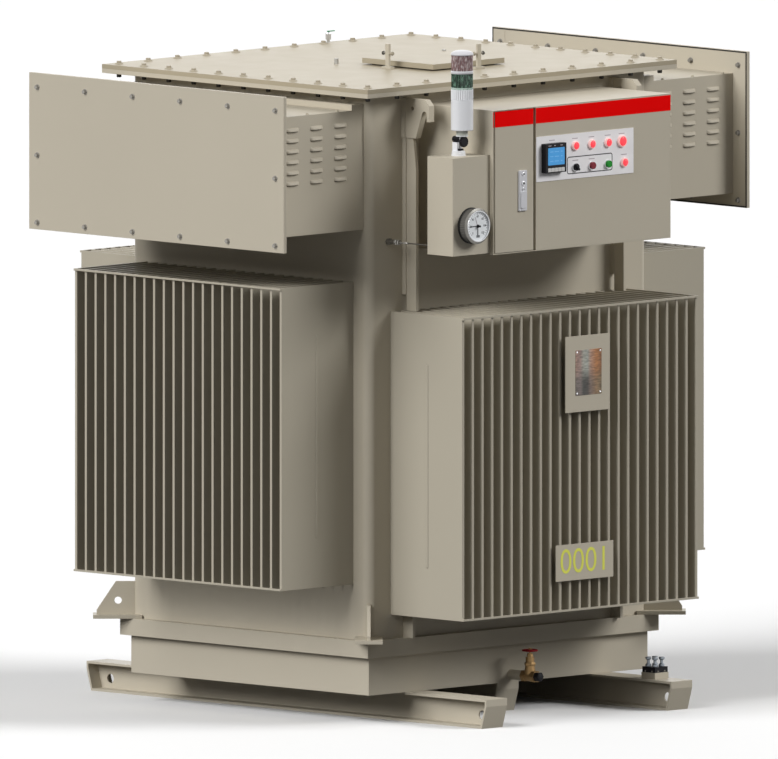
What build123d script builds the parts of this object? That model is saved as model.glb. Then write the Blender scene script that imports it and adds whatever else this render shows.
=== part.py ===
import os

from build123d import *

# An oil-filled induction voltage regulator on three skids, in millimetres.
# The origin is on the floor under the centre of the tank. The control cabinet faces -Y.

# Skids of wide-flange beam
beam_width = 100
beam_height = 100
beam_flange = 8
beam_web = 6
skid_spacing = 890
skid_length = 1922
skid_end_drop = 24
skid_end_slant = 22
tow_hole = 32
tow_hole_inset = 68
tow_hole_height = 41
anchor_hole = 22
anchor_offset = 28
anchor_spacing = 1509
anchor_middle = 22.5

# Tank
tank_width = 1340
tank_depth = 1142
tank_wall = 8
tank_corner = 30
base_height = 130
band_ledge_x = 29
band_ledge_y = 25
band_height = 58
tank_height = 1861
flange_ledge_x = 73
flange_ledge_y = 68
flange_thick = 15
lid_thick = 15

# Lid fittings
hatch_size = 342
hatch_thick = 18
hatch_neck_inset = 24
hatch_neck_height = 5
hatch_x = 45
hatch_y = -166
clamp_width = 17
clamp_thick = 8
clamp_height = 85
clamp_foot = 44
clamp_reach = 47
clamp_pin = 8
clamp_pin_height = 53
clamp_pin_length = 36
vent_stub = 15
vent_stubs = [(-184, 71, 20), (397, 135, 6)]
filler_x = 323
filler_inset = 22
filler_cap = 20
filler_stem = 12
filler_height = 31

# Lifting hooks on the front and back walls
hook_spacing = 998
hook_thick = 24
hook_drop = 17
hook_height = 135
hook_root = 66
hook_reach = 131
hook_nib = 12
hook_nib_drop = 35
hook_throat = 40
hook_throat_width = 22
hook_pad_depth = 17
hook_pad_ledge = 4
hook_chamfer = 20
hook_eye = 14
hook_eye_reach = 51
rib_thick = 12
rib_depth = 62
rib_neck = 48
rib_shoulder = 105
rib_notch = 55
rib_foot_depth = 46

# Jacking lugs on the tank corners
lug_thick = 12
lug_length = 118
lug_height = 112
lug_top = 53
lug_toe = 14
lug_hole = 25
lug_hole_reach = 45
lug_hole_height = 47
lug_foot_width = 95
lug_foot_reach = 130
lug_foot_back = 37

# Corrugated radiators
fin_depth = 344.5
fin_thick = 10
fin_sheet = 5
fin_bar = 7
front_fin_count = 25
front_fin_inset = 104.5
front_fin_bottom = 370
front_fin_drop = 743
side_fin_count = 22
side_fin_inset = 74
back_fin_bottom = 476
back_fin_drop = 639

# Terminal boxes on the two ends
box_inset = 26
box_reach = 437
box_drop = 458
box_height = 410
box_rim_ledge = 67
box_rim_drop = 46
box_rim_rise = 78
box_rim_step = 5
box_rim_thick = 6
box_cover_thick = 7
louver_columns = 3
louver_rows = 6
louver_pitch_x = 115
louver_pitch_z = 36.6
louver_length = 46
louver_height = 9
louver_reach = 5.5
louver_first_x = 111
louver_first_z = 180
tube_width = 56
tube_height = 20

# Control cabinet
cabinet_width = 853.4
cabinet_depth = 354
cabinet_height = 493
cabinet_drop = 536
cabinet_wall = 3
door_gap = 5
door_clearance = 2
door_round = 8
door_width = 190
door_thick = 10
door_skin = 2
door_frame = 22
panel_gap = 8
lip_width = 15
lip_thick = 3
mullion_width = 44
hinge_pin = 5
hinge_clearance = 0.3
hinge_depth = 12
hinge_collar = 9
lock_width = 38
lock_height = 139
lock_thick = 6
lock_inset = 58
lock_centre_z = 211
instrument_width = 466.5
instrument_height = 154
instrument_thick = 2
instrument_bottom = 235
instrument_left = 1
meter_size = 96
meter_reach = 26
meter_x = 74
meter_z = 79
lamp_size = 26
lamp_large = 32
lamp_reach = 9
lamp_row_z = 112
button_row_z = 39
lamp_places = [(185, lamp_row_z), (264, lamp_row_z), (342, lamp_row_z), (420, button_row_z)]
lamp_large_x = 409
button_places = [187, 265, 342]
button_size = 25
button_reach = 14

# Oil thermometer in its box
gauge_box_width = 177.5
gauge_box_depth = 125
gauge_box_front = 15
gauge_box_rise = 6
gauge_box_height = 335
gauge_box_corner = 4
dial_size = 124
dial_reach = 40
dial_face = 110
dial_recess = 4
dial_x = 93
dial_z = 101
gland_size = 16
gland_nut = 24
gland_nut_thick = 12
gland_length = 60
gland_x = 152
gland_z = 27
capillary = 5

# Signal tower on the thermometer box
tower_foot_size = 49
tower_foot_height = 17
tower_pivot_height = 49
tower_plate = 6
tower_arm = 16
tower_arm_lean = 6
tower_plate_width = 28
tower_plate_gap = 0.5
tower_pin = 8
tower_knob_size = 32
tower_knob_thick = 12
tower_neck = 45
tower_neck_bottom = 67
tower_neck_top = 85
tower_size = 76
tower_body_top = 228
tower_green_top = 279
tower_ring_top = 289
tower_red_top = 342
tower_cap_top = 362
tower_lens_inset = 2
tower_cap_chamfer = 9
tower_ribs = 40

# Drain valve
drain_height = 126
drain_pipe = 34
drain_pipe_reach = 62
drain_x = 12
valve_bore_size = 42
valve_length = 62
valve_bonnet = 30
valve_bonnet_top = 66
valve_gland = 18
valve_gland_top = 78
valve_stem = 8
wheel_height = 88
wheel_size = 55
wheel_rim = 7
wheel_hub = 16
wheel_hub_thick = 8
wheel_spoke = 6
wheel_clearance = 0.3
wheel_nut = 13
wheel_nut_thick = 4
plug_size = 34
plug_length = 18

# Earthing studs on the right skid
stud_base = 65
stud_inset = 129
stud_base_height = 22
stud_slab_height = 19
stud_slab_inset = 2
stud_pitch = 32
stud_head = 20
stud_waist = 11
stud_height = 33
stud_head_height = 11

# Plates on the front radiator
bracket_width = 211
bracket_height = 260
bracket_depth = 20
bracket_x = 17.5
bracket_drop = 96
plate_sheet = 3
plate_rail = 12
plate_rail_inset = 14
bracket_fins = (-1, 2)
number_fins = (-2, 2)
number_width = 275
number_height = 124
number_depth = 16
number_x = 7.5
number_rise = 106

# Levels and faces that follow from the sizes above
band_width = tank_width + 2 * band_ledge_x
band_depth = tank_depth + 2 * band_ledge_y
band_bottom = beam_height + base_height
band_top = band_bottom + band_height
tank_top = band_top + tank_height
flange_width = tank_width + 2 * flange_ledge_x
flange_depth = tank_depth + 2 * flange_ledge_y
lid_bottom = tank_top + flange_thick
lid_top = lid_bottom + lid_thick
front_face = tank_depth / 2
side_face = tank_width / 2
inner_width = tank_width - 2 * tank_wall
inner_depth = tank_depth - 2 * tank_wall
skid_x = skid_spacing / 2
skid_half = skid_length / 2
front_fin_span = tank_width - 2 * front_fin_inset
front_fin_height = tank_top - front_fin_drop - front_fin_bottom
side_fin_span = tank_depth - 2 * side_fin_inset
back_fin_height = tank_top - back_fin_drop - back_fin_bottom
box_length = tank_depth - 2 * box_inset
box_bottom = tank_top - box_drop
cabinet_bottom = tank_top - cabinet_drop
gauge_box_bottom = cabinet_bottom + gauge_box_rise

os.makedirs("parts", exist_ok=True)


def save(piece, name):
    """Label a finished piece and write it."""
    piece.part.label = name
    export_step(piece.part, f"parts/{name}.step")


def wall_plane(outward, distance, height=0):
    """A plane on a wall: x along the wall, y up, z outwards."""
    normal = Vector(*outward)
    return Plane(
        origin=normal * distance + Vector(0, 0, height),
        x_dir=Vector(0, 0, 1).cross(normal),
        z_dir=normal,
    )


FRONT = (0, -1, 0)
BACK = (0, 1, 0)
LEFT = (-1, 0, 0)
RIGHT = (1, 0, 0)


def make_skid(name, x, half_length, holes):
    """A beam whose closed ends slope in towards the floor."""
    flange_gap = beam_height - 2 * beam_flange
    side_gap = (beam_width - beam_web) / 2
    slope_top = beam_height - skid_end_drop
    outline = [
        (half_length, beam_height),
        (half_length, slope_top),
        (half_length - skid_end_slant, 0),
        (skid_end_slant - half_length, 0),
        (-half_length, slope_top),
        (-half_length, beam_height),
    ]
    end_plate = [
        (half_length, beam_height),
        (half_length, slope_top),
        (half_length - skid_end_slant, 0),
        (half_length - skid_end_slant - beam_flange, 0),
        (half_length - beam_flange, slope_top),
        (half_length - beam_flange, beam_height),
    ]
    side_plane = Plane(origin=(x, 0, 0), x_dir=(0, 1, 0), z_dir=(1, 0, 0))
    with BuildPart() as skid:
        with BuildSketch(Plane.XZ.offset(-half_length)):
            with Locations((x, beam_height / 2)):
                Rectangle(beam_width, beam_height)
            for side in (-1, 1):
                with Locations((x + side * (beam_web + side_gap) / 2, beam_height / 2)):
                    Rectangle(side_gap, flange_gap, mode=Mode.SUBTRACT)
        extrude(amount=2 * half_length)
        with BuildSketch(side_plane):
            with BuildLine():
                Polyline(*outline, close=True)
            make_face()
        extrude(amount=beam_width / 2, both=True, mode=Mode.INTERSECT)
        with BuildSketch(side_plane):
            for way in (-1, 1):
                with BuildLine():
                    Polyline(*[(way * y, z) for y, z in end_plate], close=True)
                make_face()
        extrude(amount=beam_width / 2, both=True)
        if holes:
            tow_y = half_length - tow_hole_inset
            with BuildSketch(side_plane):
                with Locations((-tow_y, tow_hole_height), (tow_y, tow_hole_height)):
                    Circle(tow_hole / 2)
            extrude(amount=beam_web, both=True, mode=Mode.SUBTRACT)
            anchor_x = x + anchor_offset * (1 if x > 0 else -1)
            with BuildSketch(Plane.XY):
                with Locations((anchor_x, anchor_middle)):
                    with GridLocations(1, anchor_spacing, 1, 2):
                        Circle(anchor_hole / 2)
            extrude(amount=beam_flange, mode=Mode.SUBTRACT)
    save(skid, name)


make_skid("left_skid", -skid_x, skid_half, True)
make_skid("right_skid", skid_x, skid_half, True)
make_skid("middle_skid", 0, front_face, False)


def make_bar_pair(name, plane, length, thick, height, offset, along_x):
    """Two like bars on opposite sides, standing on a level plane."""
    with BuildPart() as bars:
        with BuildSketch(plane):
            if along_x:
                with Locations((0, -offset), (0, offset)):
                    Rectangle(length, thick)
            else:
                with Locations((-offset, 0), (offset, 0)):
                    Rectangle(thick, length)
        extrude(amount=height)
    save(bars, name)


# Lower tank: floor plate between four walls
with BuildPart() as tank_floor:
    with BuildSketch(Plane.XY.offset(beam_height)):
        Rectangle(inner_width, inner_depth)
    extrude(amount=tank_wall)
save(tank_floor, "tank_floor")

base_plane = Plane.XY.offset(beam_height)
make_bar_pair("base_long_walls", base_plane, tank_width, tank_wall, base_height,
              (tank_depth - tank_wall) / 2, True)
make_bar_pair("base_short_walls", base_plane, inner_depth, tank_wall, base_height,
              (tank_width - tank_wall) / 2, False)

# Band round the joint between the lower and the upper tank
band_plane = Plane.XY.offset(band_bottom)
make_bar_pair("band_long_bars", band_plane, band_width, (band_depth - inner_depth) / 2,
              band_height, (band_depth + inner_depth) / 4, True)
make_bar_pair("band_short_bars", band_plane, inner_depth, (band_width - inner_width) / 2,
              band_height, (band_width + inner_width) / 4, False)


def make_tank_wall(name, centre, width, depth):
    """One stretch of the tank's wall, cut from the rounded outline."""
    with BuildPart() as wall:
        with BuildSketch(Plane.XY.offset(band_top)):
            RectangleRounded(tank_width, tank_depth, tank_corner)
            RectangleRounded(inner_width, inner_depth, tank_corner - tank_wall, mode=Mode.SUBTRACT)
            with Locations(centre):
                Rectangle(width, depth, mode=Mode.INTERSECT)
        extrude(amount=tank_height)
    save(wall, name)


flat_width = tank_width - 2 * tank_corner
make_tank_wall("tank_front_wall", (0, -front_face), flat_width, 2 * tank_wall)
make_tank_wall("tank_back_wall", (0, front_face), flat_width, 2 * tank_wall)
make_tank_wall("tank_left_wall", (-side_face, 0), 2 * tank_corner, tank_depth)
make_tank_wall("tank_right_wall", (side_face, 0), 2 * tank_corner, tank_depth)

# Tank flange under the lid
flange_plane = Plane.XY.offset(tank_top)
make_bar_pair("flange_long_bars", flange_plane, flange_width, (flange_depth - inner_depth) / 2,
              flange_thick, (flange_depth + inner_depth) / 4, True)
make_bar_pair("flange_short_bars", flange_plane, inner_depth, (flange_width - inner_width) / 2,
              flange_thick, (flange_width + inner_width) / 4, False)

# Lid with the low neck of its hatch
with BuildPart() as lid:
    with BuildSketch(Plane.XY.offset(lid_bottom)):
        Rectangle(flange_width, flange_depth)
    extrude(amount=lid_thick)
    with BuildSketch(Plane.XY.offset(lid_top)):
        with Locations((hatch_x, hatch_y)):
            Rectangle(hatch_size - 2 * hatch_neck_inset, hatch_size - 2 * hatch_neck_inset)
    extrude(amount=hatch_neck_height)
save(lid, "lid")

with BuildPart() as hatch_cover:
    with BuildSketch(Plane.XY.offset(lid_top + hatch_neck_height)):
        with Locations((hatch_x, hatch_y)):
            Rectangle(hatch_size, hatch_size)
    extrude(amount=hatch_thick)
save(hatch_cover, "hatch_cover")

# Clamp posts beside the hatch, each with a cross pin
clamp_centres = [
    (hatch_x - hatch_size / 2 - clamp_reach, hatch_y, True),
    (hatch_x, hatch_y - hatch_size / 2 - clamp_reach, False),
]
with BuildPart() as hatch_clamps:
    for x, y, facing_x in clamp_centres:
        with BuildSketch(Plane.XY.offset(lid_top)):
            with Locations((x, y)):
                Rectangle(*((clamp_width, clamp_foot) if facing_x else (clamp_foot, clamp_width)))
        extrude(amount=clamp_thick)
        with BuildSketch(Plane.XY.offset(lid_top)):
            with Locations((x, y)):
                Rectangle(*((clamp_thick, clamp_width) if facing_x else (clamp_width, clamp_thick)))
        extrude(amount=clamp_height)
        pin_axis = (0, 1, 0) if facing_x else (1, 0, 0)
        pin_plane = Plane(origin=(x, y, lid_top + clamp_pin_height), z_dir=pin_axis)
        with BuildSketch(pin_plane):
            RegularPolygon(clamp_pin / 2, 6)
        extrude(amount=clamp_pin_length / 2, both=True)
save(hatch_clamps, "hatch_clamps")

# Hexagonal vent plugs and the filler valve on the lid
filler_y = flange_depth / 2 - filler_inset
with BuildPart() as lid_fittings:
    for x, y, height in vent_stubs:
        with BuildSketch(Plane.XY.offset(lid_top)):
            with Locations((x, y)):
                RegularPolygon(vent_stub / 2, 6)
        extrude(amount=height)
    for size, low, high in (
        (filler_stem, 0, filler_height - filler_cap),
        (filler_cap, filler_height - filler_cap, filler_height),
    ):
        with BuildSketch(Plane.XY.offset(lid_top + low)):
            with Locations((filler_x, filler_y)):
                RegularPolygon(size / 2, 6)
        extrude(amount=high - low)
save(lid_fittings, "lid_fittings")

# Lifting hooks, each on a pad, with the rib that runs down the wall below it
hook_top = tank_top - hook_drop
hook_low = hook_top - hook_height
rib_bottom = front_fin_bottom + front_fin_height
back_rib_bottom = back_fin_bottom + back_fin_height
throat_top = hook_top - hook_throat
throat_radius = hook_throat_width / 2
nib_inner = hook_reach - hook_nib
nib_bottom = throat_top - hook_nib_drop
throat_inner = nib_inner - hook_throat_width
throat_spring = throat_top - throat_radius


def rib_outline(low):
    """The rib's edge, as distance out from the wall and height, notched at its foot."""
    return [
        (hook_pad_depth, low),
        (rib_depth, low),
        (rib_depth, hook_low - rib_shoulder),
        (rib_neck, hook_low),
        (0, hook_low),
        (0, low + rib_notch),
        (hook_pad_depth, low + rib_notch),
    ]


with BuildPart() as lifting_hooks:
    for side, low, foot_top in ((-1, rib_bottom, front_fin_bottom), (1, back_rib_bottom, back_fin_bottom)):
        for x in (-hook_spacing / 2, hook_spacing / 2):
            hook_plane = Plane(origin=(x, side * front_face, 0), x_dir=(0, side, 0), z_dir=(side, 0, 0))
            with BuildSketch(hook_plane):
                with BuildLine():
                    Polyline((0, hook_low), (hook_root, hook_low), (throat_inner, throat_spring))
                    ThreePointArc(
                        (throat_inner, throat_spring),
                        (throat_inner + throat_radius, throat_top),
                        (nib_inner, throat_spring),
                    )
                    Polyline(
                        (nib_inner, throat_spring),
                        (nib_inner, nib_bottom),
                        (hook_reach, nib_bottom),
                        (hook_reach, hook_top - hook_chamfer),
                        (hook_reach - hook_chamfer, hook_top),
                        (0, hook_top),
                        (0, hook_low),
                    )
                make_face()
                with Locations((hook_eye_reach, hook_top - hook_throat + hook_eye / 2)):
                    Circle(hook_eye / 2, mode=Mode.SUBTRACT)
            extrude(amount=hook_thick / 2, both=True)
            with BuildSketch(hook_plane):
                with BuildLine():
                    Polyline(*rib_outline(low), close=True)
                make_face()
                with Locations((rib_foot_depth / 2, (band_top + foot_top) / 2)):
                    Rectangle(rib_foot_depth, foot_top - band_top)
            extrude(amount=rib_thick / 2, both=True)
            for thick, bottom, top in ((hook_thick, hook_low, hook_top), (rib_thick, low + rib_notch, hook_low)):
                with BuildSketch(hook_plane):
                    with Locations((hook_pad_depth / 2, (bottom + top) / 2)):
                        Rectangle(hook_pad_depth, top - bottom)
                extrude(amount=thick / 2 + hook_pad_ledge, both=True)
save(lifting_hooks, "lifting_hooks")

# Jacking lugs on the band, pointing out from the tank's corners
with BuildPart() as jacking_lugs:
    for side_x in (-1, 1):
        for side_y in (-1, 1):
            outward = Vector(side_x, side_y, 0).normalized()
            across = Vector(outward.Y, -outward.X, 0)
            corner = Vector(side_x * side_face, side_y * front_face, band_top)
            with BuildSketch(Plane(origin=corner, x_dir=outward, z_dir=(0, 0, 1))):
                with Locations(((lug_foot_reach - lug_foot_back) / 2, 0)):
                    Rectangle(lug_foot_reach + lug_foot_back, lug_foot_width)
            extrude(amount=lug_thick)
            gusset = corner + Vector(0, 0, lug_thick)
            with BuildSketch(Plane(origin=gusset, x_dir=outward, z_dir=across)):
                with BuildLine():
                    Polyline(
                        (-lug_foot_back, 0),
                        (lug_length, 0),
                        (lug_length, lug_toe),
                        (lug_top, lug_height),
                        (-lug_foot_back, lug_height),
                        close=True,
                    )
                make_face()
                with Locations((lug_hole_reach, lug_hole_height)):
                    Circle(lug_hole / 2, mode=Mode.SUBTRACT)
            extrude(amount=lug_thick / 2, both=True)
    with BuildSketch(Plane.XY.offset(band_top)):
        RectangleRounded(tank_width, tank_depth, tank_corner)
    extrude(amount=lug_thick + lug_height, mode=Mode.SUBTRACT)
save(jacking_lugs, "jacking_lugs")


def make_radiator(name, outward, distance, count, span, bottom, height):
    """Folded fins on a back sheet, with a bar along their edges at the top and the bottom."""
    plane = wall_plane(outward, distance, bottom)
    pitch = (span - fin_thick) / (count - 1)
    with BuildPart() as radiator:
        with BuildSketch(plane):
            with Locations((0, height / 2)):
                Rectangle(span, height)
        extrude(amount=fin_sheet)
        with BuildSketch(plane):
            with Locations((0, height / 2)):
                with GridLocations(pitch, 1, count, 1):
                    Rectangle(fin_thick, height)
        extrude(amount=fin_depth)
        with BuildSketch(plane.offset(fin_depth)):
            with Locations((0, fin_bar / 2), (0, height - fin_bar / 2)):
                Rectangle(span, fin_bar)
        extrude(amount=fin_bar)
    save(radiator, name)


make_radiator("front_radiator", FRONT, front_face, front_fin_count, front_fin_span,
              front_fin_bottom, front_fin_height)
make_radiator("back_radiator", BACK, front_face, front_fin_count, front_fin_span,
              back_fin_bottom, back_fin_height)
make_radiator("left_radiator", LEFT, side_face, side_fin_count, side_fin_span,
              back_fin_bottom, back_fin_height)
make_radiator("right_radiator", RIGHT, side_face, side_fin_count, side_fin_span,
              back_fin_bottom, back_fin_height)

# Terminal boxes: body with its rim, bolted cover, and the bar along the top
box_rim_bottom = box_bottom - box_rim_drop
box_rim_length = box_length + 2 * box_rim_ledge
box_rim_height = box_rim_drop + box_height + box_rim_rise
for side_name, outward, side in (("left", LEFT, -1), ("right", RIGHT, 1)):
    with BuildPart() as box_body:
        with BuildSketch(wall_plane(outward, side_face, box_bottom)):
            with Locations((0, box_height / 2)):
                Rectangle(box_length, box_height)
        extrude(amount=box_reach)
        for way in (-1, 1):
            for column in range(louver_columns):
                column_x = side * (side_face + louver_first_x + column * louver_pitch_x)
                hood_plane = Plane(
                    origin=(column_x, way * box_length / 2, box_bottom),
                    x_dir=(0, way, 0),
                    z_dir=(way, 0, 0),
                )
                with BuildSketch(hood_plane):
                    with Locations(*[(0, louver_first_z + row * louver_pitch_z) for row in range(louver_rows)]):
                        Polygon(
                            (0, -louver_height / 2),
                            (louver_reach, -louver_height / 2),
                            (0, louver_height / 2),
                            align=None,
                        )
                extrude(amount=louver_length / 2, both=True)
        with BuildSketch(wall_plane(outward, side_face + box_reach, box_rim_bottom)):
            with Locations((0, box_rim_height / 2)):
                Rectangle(box_rim_length - 2 * box_rim_step, box_rim_height - 2 * box_rim_step)
        extrude(amount=box_rim_thick)
    save(box_body, f"{side_name}_terminal_box")

    with BuildPart() as box_cover:
        cover_distance = side_face + box_reach + box_rim_thick
        with BuildSketch(wall_plane(outward, cover_distance, box_rim_bottom)):
            with Locations((0, box_rim_height / 2)):
                Rectangle(box_rim_length, box_rim_height)
        extrude(amount=box_cover_thick)
    save(box_cover, f"{side_name}_terminal_cover")

with BuildPart() as ledge_tubes:
    with BuildSketch(Plane.XZ.offset(-box_length / 2)):
        for side in (-1, 1):
            tube_centre = (side * (side_face + tube_width / 2), box_bottom + box_height + tube_height / 2)
            with Locations(tube_centre):
                Rectangle(tube_width, tube_height)
    extrude(amount=box_length)
save(ledge_tubes, "ledge_tubes")

# Control cabinet: folded shell with a lip behind the door and the fixed panel
cabinet_left = -cabinet_width / 2
cabinet_front = front_face + cabinet_depth
cabinet_inner_width = cabinet_width - 2 * cabinet_wall
cabinet_inner_height = cabinet_height - 2 * cabinet_wall
leaf_left = cabinet_left + cabinet_wall + door_gap
leaf_bottom = cabinet_bottom + cabinet_wall + door_clearance
leaf_height = cabinet_inner_height - 2 * door_clearance
leaf_right = leaf_left + door_width
panel_left = leaf_right + panel_gap
panel_right = cabinet_inner_width / 2
hinge_x = leaf_left + door_thick / 2
hinge_y = -cabinet_front + door_thick / 2
lip_face = cabinet_front - door_thick - door_gap
mullion_x = leaf_right + panel_gap / 2

with BuildPart() as cabinet_body:
    with BuildSketch(wall_plane(FRONT, front_face, cabinet_bottom)):
        with Locations((0, cabinet_height / 2)):
            Rectangle(cabinet_width, cabinet_height)
    extrude(amount=cabinet_depth)
    with BuildSketch(wall_plane(FRONT, front_face + cabinet_wall, cabinet_bottom)):
        with Locations((0, cabinet_height / 2)):
            Rectangle(cabinet_inner_width, cabinet_inner_height)
    extrude(amount=cabinet_depth, mode=Mode.SUBTRACT)
    with BuildSketch(wall_plane(FRONT, lip_face - lip_thick, cabinet_bottom)):
        with Locations((0, cabinet_height / 2)):
            Rectangle(cabinet_inner_width, cabinet_inner_height)
            Rectangle(
                cabinet_inner_width - 2 * lip_width,
                cabinet_inner_height - 2 * lip_width,
                mode=Mode.SUBTRACT,
            )
        with Locations((mullion_x, cabinet_height / 2)):
            Rectangle(mullion_width, cabinet_inner_height)
    extrude(amount=lip_thick)
    pin_foot = cabinet_bottom + cabinet_wall
    pin_head = cabinet_bottom + cabinet_height - cabinet_wall
    with BuildSketch(Plane.XY.offset(pin_foot)):
        with Locations((hinge_x, hinge_y)):
            Circle(hinge_collar / 2)
    extrude(amount=door_clearance - hinge_clearance)
    with BuildSketch(Plane.XY.offset(pin_foot)):
        with Locations((hinge_x, hinge_y)):
            Circle(hinge_pin / 2)
    extrude(amount=door_clearance + hinge_depth)
    with BuildSketch(Plane.XY.offset(pin_head)):
        with Locations((hinge_x, hinge_y)):
            Circle(hinge_pin / 2)
    extrude(amount=-(door_clearance + hinge_depth))
save(cabinet_body, "cabinet_body")

# Narrow door leaf, turning on pins at its rounded left edge
with BuildPart() as cabinet_door:
    with BuildSketch(Plane.XY.offset(leaf_bottom)):
        with Locations((hinge_x, hinge_y)):
            Circle(door_thick / 2)
        with Locations(((hinge_x + leaf_right) / 2, hinge_y)):
            Rectangle(leaf_right - hinge_x, door_thick)
    extrude(amount=leaf_height)
    with BuildSketch(wall_plane(BACK, -(cabinet_front - door_skin), leaf_bottom)):
        pocket_left = leaf_left + door_frame
        pocket_right = leaf_right - door_frame / 2
        with Locations((-(pocket_left + pocket_right) / 2, leaf_height / 2)):
            Rectangle(pocket_right - pocket_left, leaf_height - 2 * door_frame)
    extrude(amount=door_thick, mode=Mode.SUBTRACT)
    for end, way in ((leaf_bottom, 1), (leaf_bottom + leaf_height, -1)):
        with BuildSketch(Plane.XY.offset(end)):
            with Locations((hinge_x, hinge_y)):
                Circle(hinge_pin / 2 + hinge_clearance)
        extrude(amount=way * (hinge_depth + door_clearance), mode=Mode.SUBTRACT)
    free_corner = (leaf_right, -cabinet_front, leaf_bottom + leaf_height / 2)
    fillet(cabinet_door.edges().filter_by(Axis.Z).sort_by_distance(free_corner)[0], door_round)
save(cabinet_door, "cabinet_door")

# Lock with its long handle lying in the plate
with BuildPart() as door_lock:
    lock_plane = wall_plane(FRONT, cabinet_front, cabinet_bottom)
    with BuildSketch(lock_plane):
        with Locations((leaf_right - lock_inset, lock_centre_z)):
            RectangleRounded(lock_width, lock_height, lock_width / 4)
    extrude(amount=lock_thick)
    with BuildSketch(lock_plane.offset(lock_thick)):
        with Locations((leaf_right - lock_inset, lock_centre_z - lock_height / 8)):
            SlotOverall(lock_height * 0.6, lock_width / 2, rotation=90)
    extrude(amount=lock_thick)
save(door_lock, "door_lock")

# Fixed wide panel, seated on the lip
with BuildPart() as front_panel:
    with BuildSketch(wall_plane(FRONT, lip_face, cabinet_bottom)):
        with Locations(((panel_left + panel_right) / 2, cabinet_height / 2)):
            Rectangle(panel_right - panel_left, cabinet_inner_height)
    extrude(amount=cabinet_front - lip_face)
    with BuildSketch(wall_plane(BACK, -(cabinet_front - door_skin), cabinet_bottom)):
        with Locations((-(panel_left + panel_right) / 2, cabinet_height / 2)):
            Rectangle(panel_right - panel_left - 2 * door_frame, cabinet_inner_height - 2 * door_frame)
    extrude(amount=door_thick + door_gap, mode=Mode.SUBTRACT)
save(front_panel, "front_panel")

# Instrument plate with the meter, lamps and buttons
plate_left = panel_left + instrument_left
plate_plane = wall_plane(FRONT, cabinet_front, cabinet_bottom + instrument_bottom)
face_plane = plate_plane.offset(instrument_thick)
with BuildPart() as instrument_plate:
    with BuildSketch(plate_plane):
        with Locations((plate_left + instrument_width / 2, instrument_height / 2)):
            Rectangle(instrument_width, instrument_height)
    extrude(amount=instrument_thick)
save(instrument_plate, "instrument_plate")

with BuildPart() as panel_meter:
    with BuildSketch(face_plane):
        with Locations((plate_left + meter_x, meter_z)):
            Rectangle(meter_size, meter_size)
    extrude(amount=meter_reach, taper=4)
save(panel_meter, "panel_meter")

with BuildPart() as signal_lamps:
    with BuildSketch(face_plane):
        for x, z in lamp_places:
            with Locations((plate_left + x, z)):
                Circle(lamp_size / 2)
        with Locations((plate_left + lamp_large_x, lamp_row_z)):
            Circle(lamp_large / 2)
    extrude(amount=lamp_reach)
save(signal_lamps, "signal_lamps")

with BuildPart() as push_buttons:
    with BuildSketch(face_plane):
        for x in button_places:
            with Locations((plate_left + x, button_row_z)):
                Circle(button_size / 2)
    extrude(amount=button_reach)
save(push_buttons, "push_buttons")

# Thermometer box on the cabinet's left side
gauge_right = cabinet_left
gauge_left = gauge_right - gauge_box_width
gauge_front = cabinet_front - gauge_box_front
gauge_top = gauge_box_bottom + gauge_box_height
with BuildPart() as thermometer_box:
    with BuildSketch(wall_plane(FRONT, gauge_front - gauge_box_depth, gauge_box_bottom)):
        with Locations(((gauge_left + gauge_right) / 2, gauge_box_height / 2)):
            Rectangle(gauge_box_width, gauge_box_height)
    extrude(amount=gauge_box_depth)
    fillet(thermometer_box.edges().filter_by(Axis.Z).group_by(Axis.X)[0], gauge_box_corner)
save(thermometer_box, "thermometer_box")

dial_plane = wall_plane(FRONT, gauge_front, gauge_box_bottom)
with BuildPart() as thermometer_dial:
    with BuildSketch(dial_plane):
        with Locations((gauge_right - dial_x, dial_z)):
            Circle(dial_size / 2)
    extrude(amount=dial_reach)
    with BuildSketch(dial_plane.offset(dial_reach)):
        with Locations((gauge_right - dial_x, dial_z)):
            Circle(dial_face / 2)
    extrude(amount=-dial_recess, mode=Mode.SUBTRACT)
save(thermometer_dial, "thermometer_dial")

gland_plane = wall_plane(FRONT, front_face, gauge_box_bottom)
gland_place = (gauge_right - gland_x, gland_z)
capillary_run = gauge_front - gauge_box_depth - front_face
with BuildPart() as capillary_tube:
    for size, length in ((gland_nut, gland_nut_thick), (gland_size, gland_length),
                         (capillary, capillary_run)):
        with BuildSketch(gland_plane):
            with Locations(gland_place):
                if size == gland_nut:
                    RegularPolygon(size / 2, 6)
                else:
                    Circle(size / 2)
        extrude(amount=length)
save(capillary_tube, "capillary_tube")

# Signal tower: foot with the pivot plate and pin, folding over to the left
tower_x = (gauge_left + gauge_right) / 2
tower_y = -gauge_front + gauge_box_depth / 2
pivot_z = gauge_top + tower_pivot_height
plate_half = tower_plate_width / 2
arm_back = tower_y - tower_plate / 2 - tower_plate_gap
drum_y = arm_back - tower_arm / 2 - tower_arm_lean
knob_back = arm_back - tower_arm - tower_plate_gap


def pivot_plane(y):
    """A plane square to the pivot, x to the right and y up from the pivot."""
    return Plane(origin=(tower_x, y, pivot_z), x_dir=(1, 0, 0), z_dir=(0, -1, 0))


with BuildPart() as tower_foot:
    with BuildSketch(Plane.XY.offset(gauge_top)):
        with Locations((tower_x, tower_y)):
            Circle(tower_foot_size / 2)
    extrude(amount=tower_foot_height)
    with BuildSketch(pivot_plane(tower_y)):
        Circle(plate_half)
        with Locations((0, (tower_foot_height - tower_pivot_height) / 2)):
            Rectangle(tower_plate_width, tower_pivot_height - tower_foot_height)
    extrude(amount=tower_plate / 2, both=True)
    with BuildSketch(pivot_plane(tower_y)):
        Circle(tower_pin / 2)
    extrude(amount=tower_y - knob_back)
save(tower_foot, "tower_foot")

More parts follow.
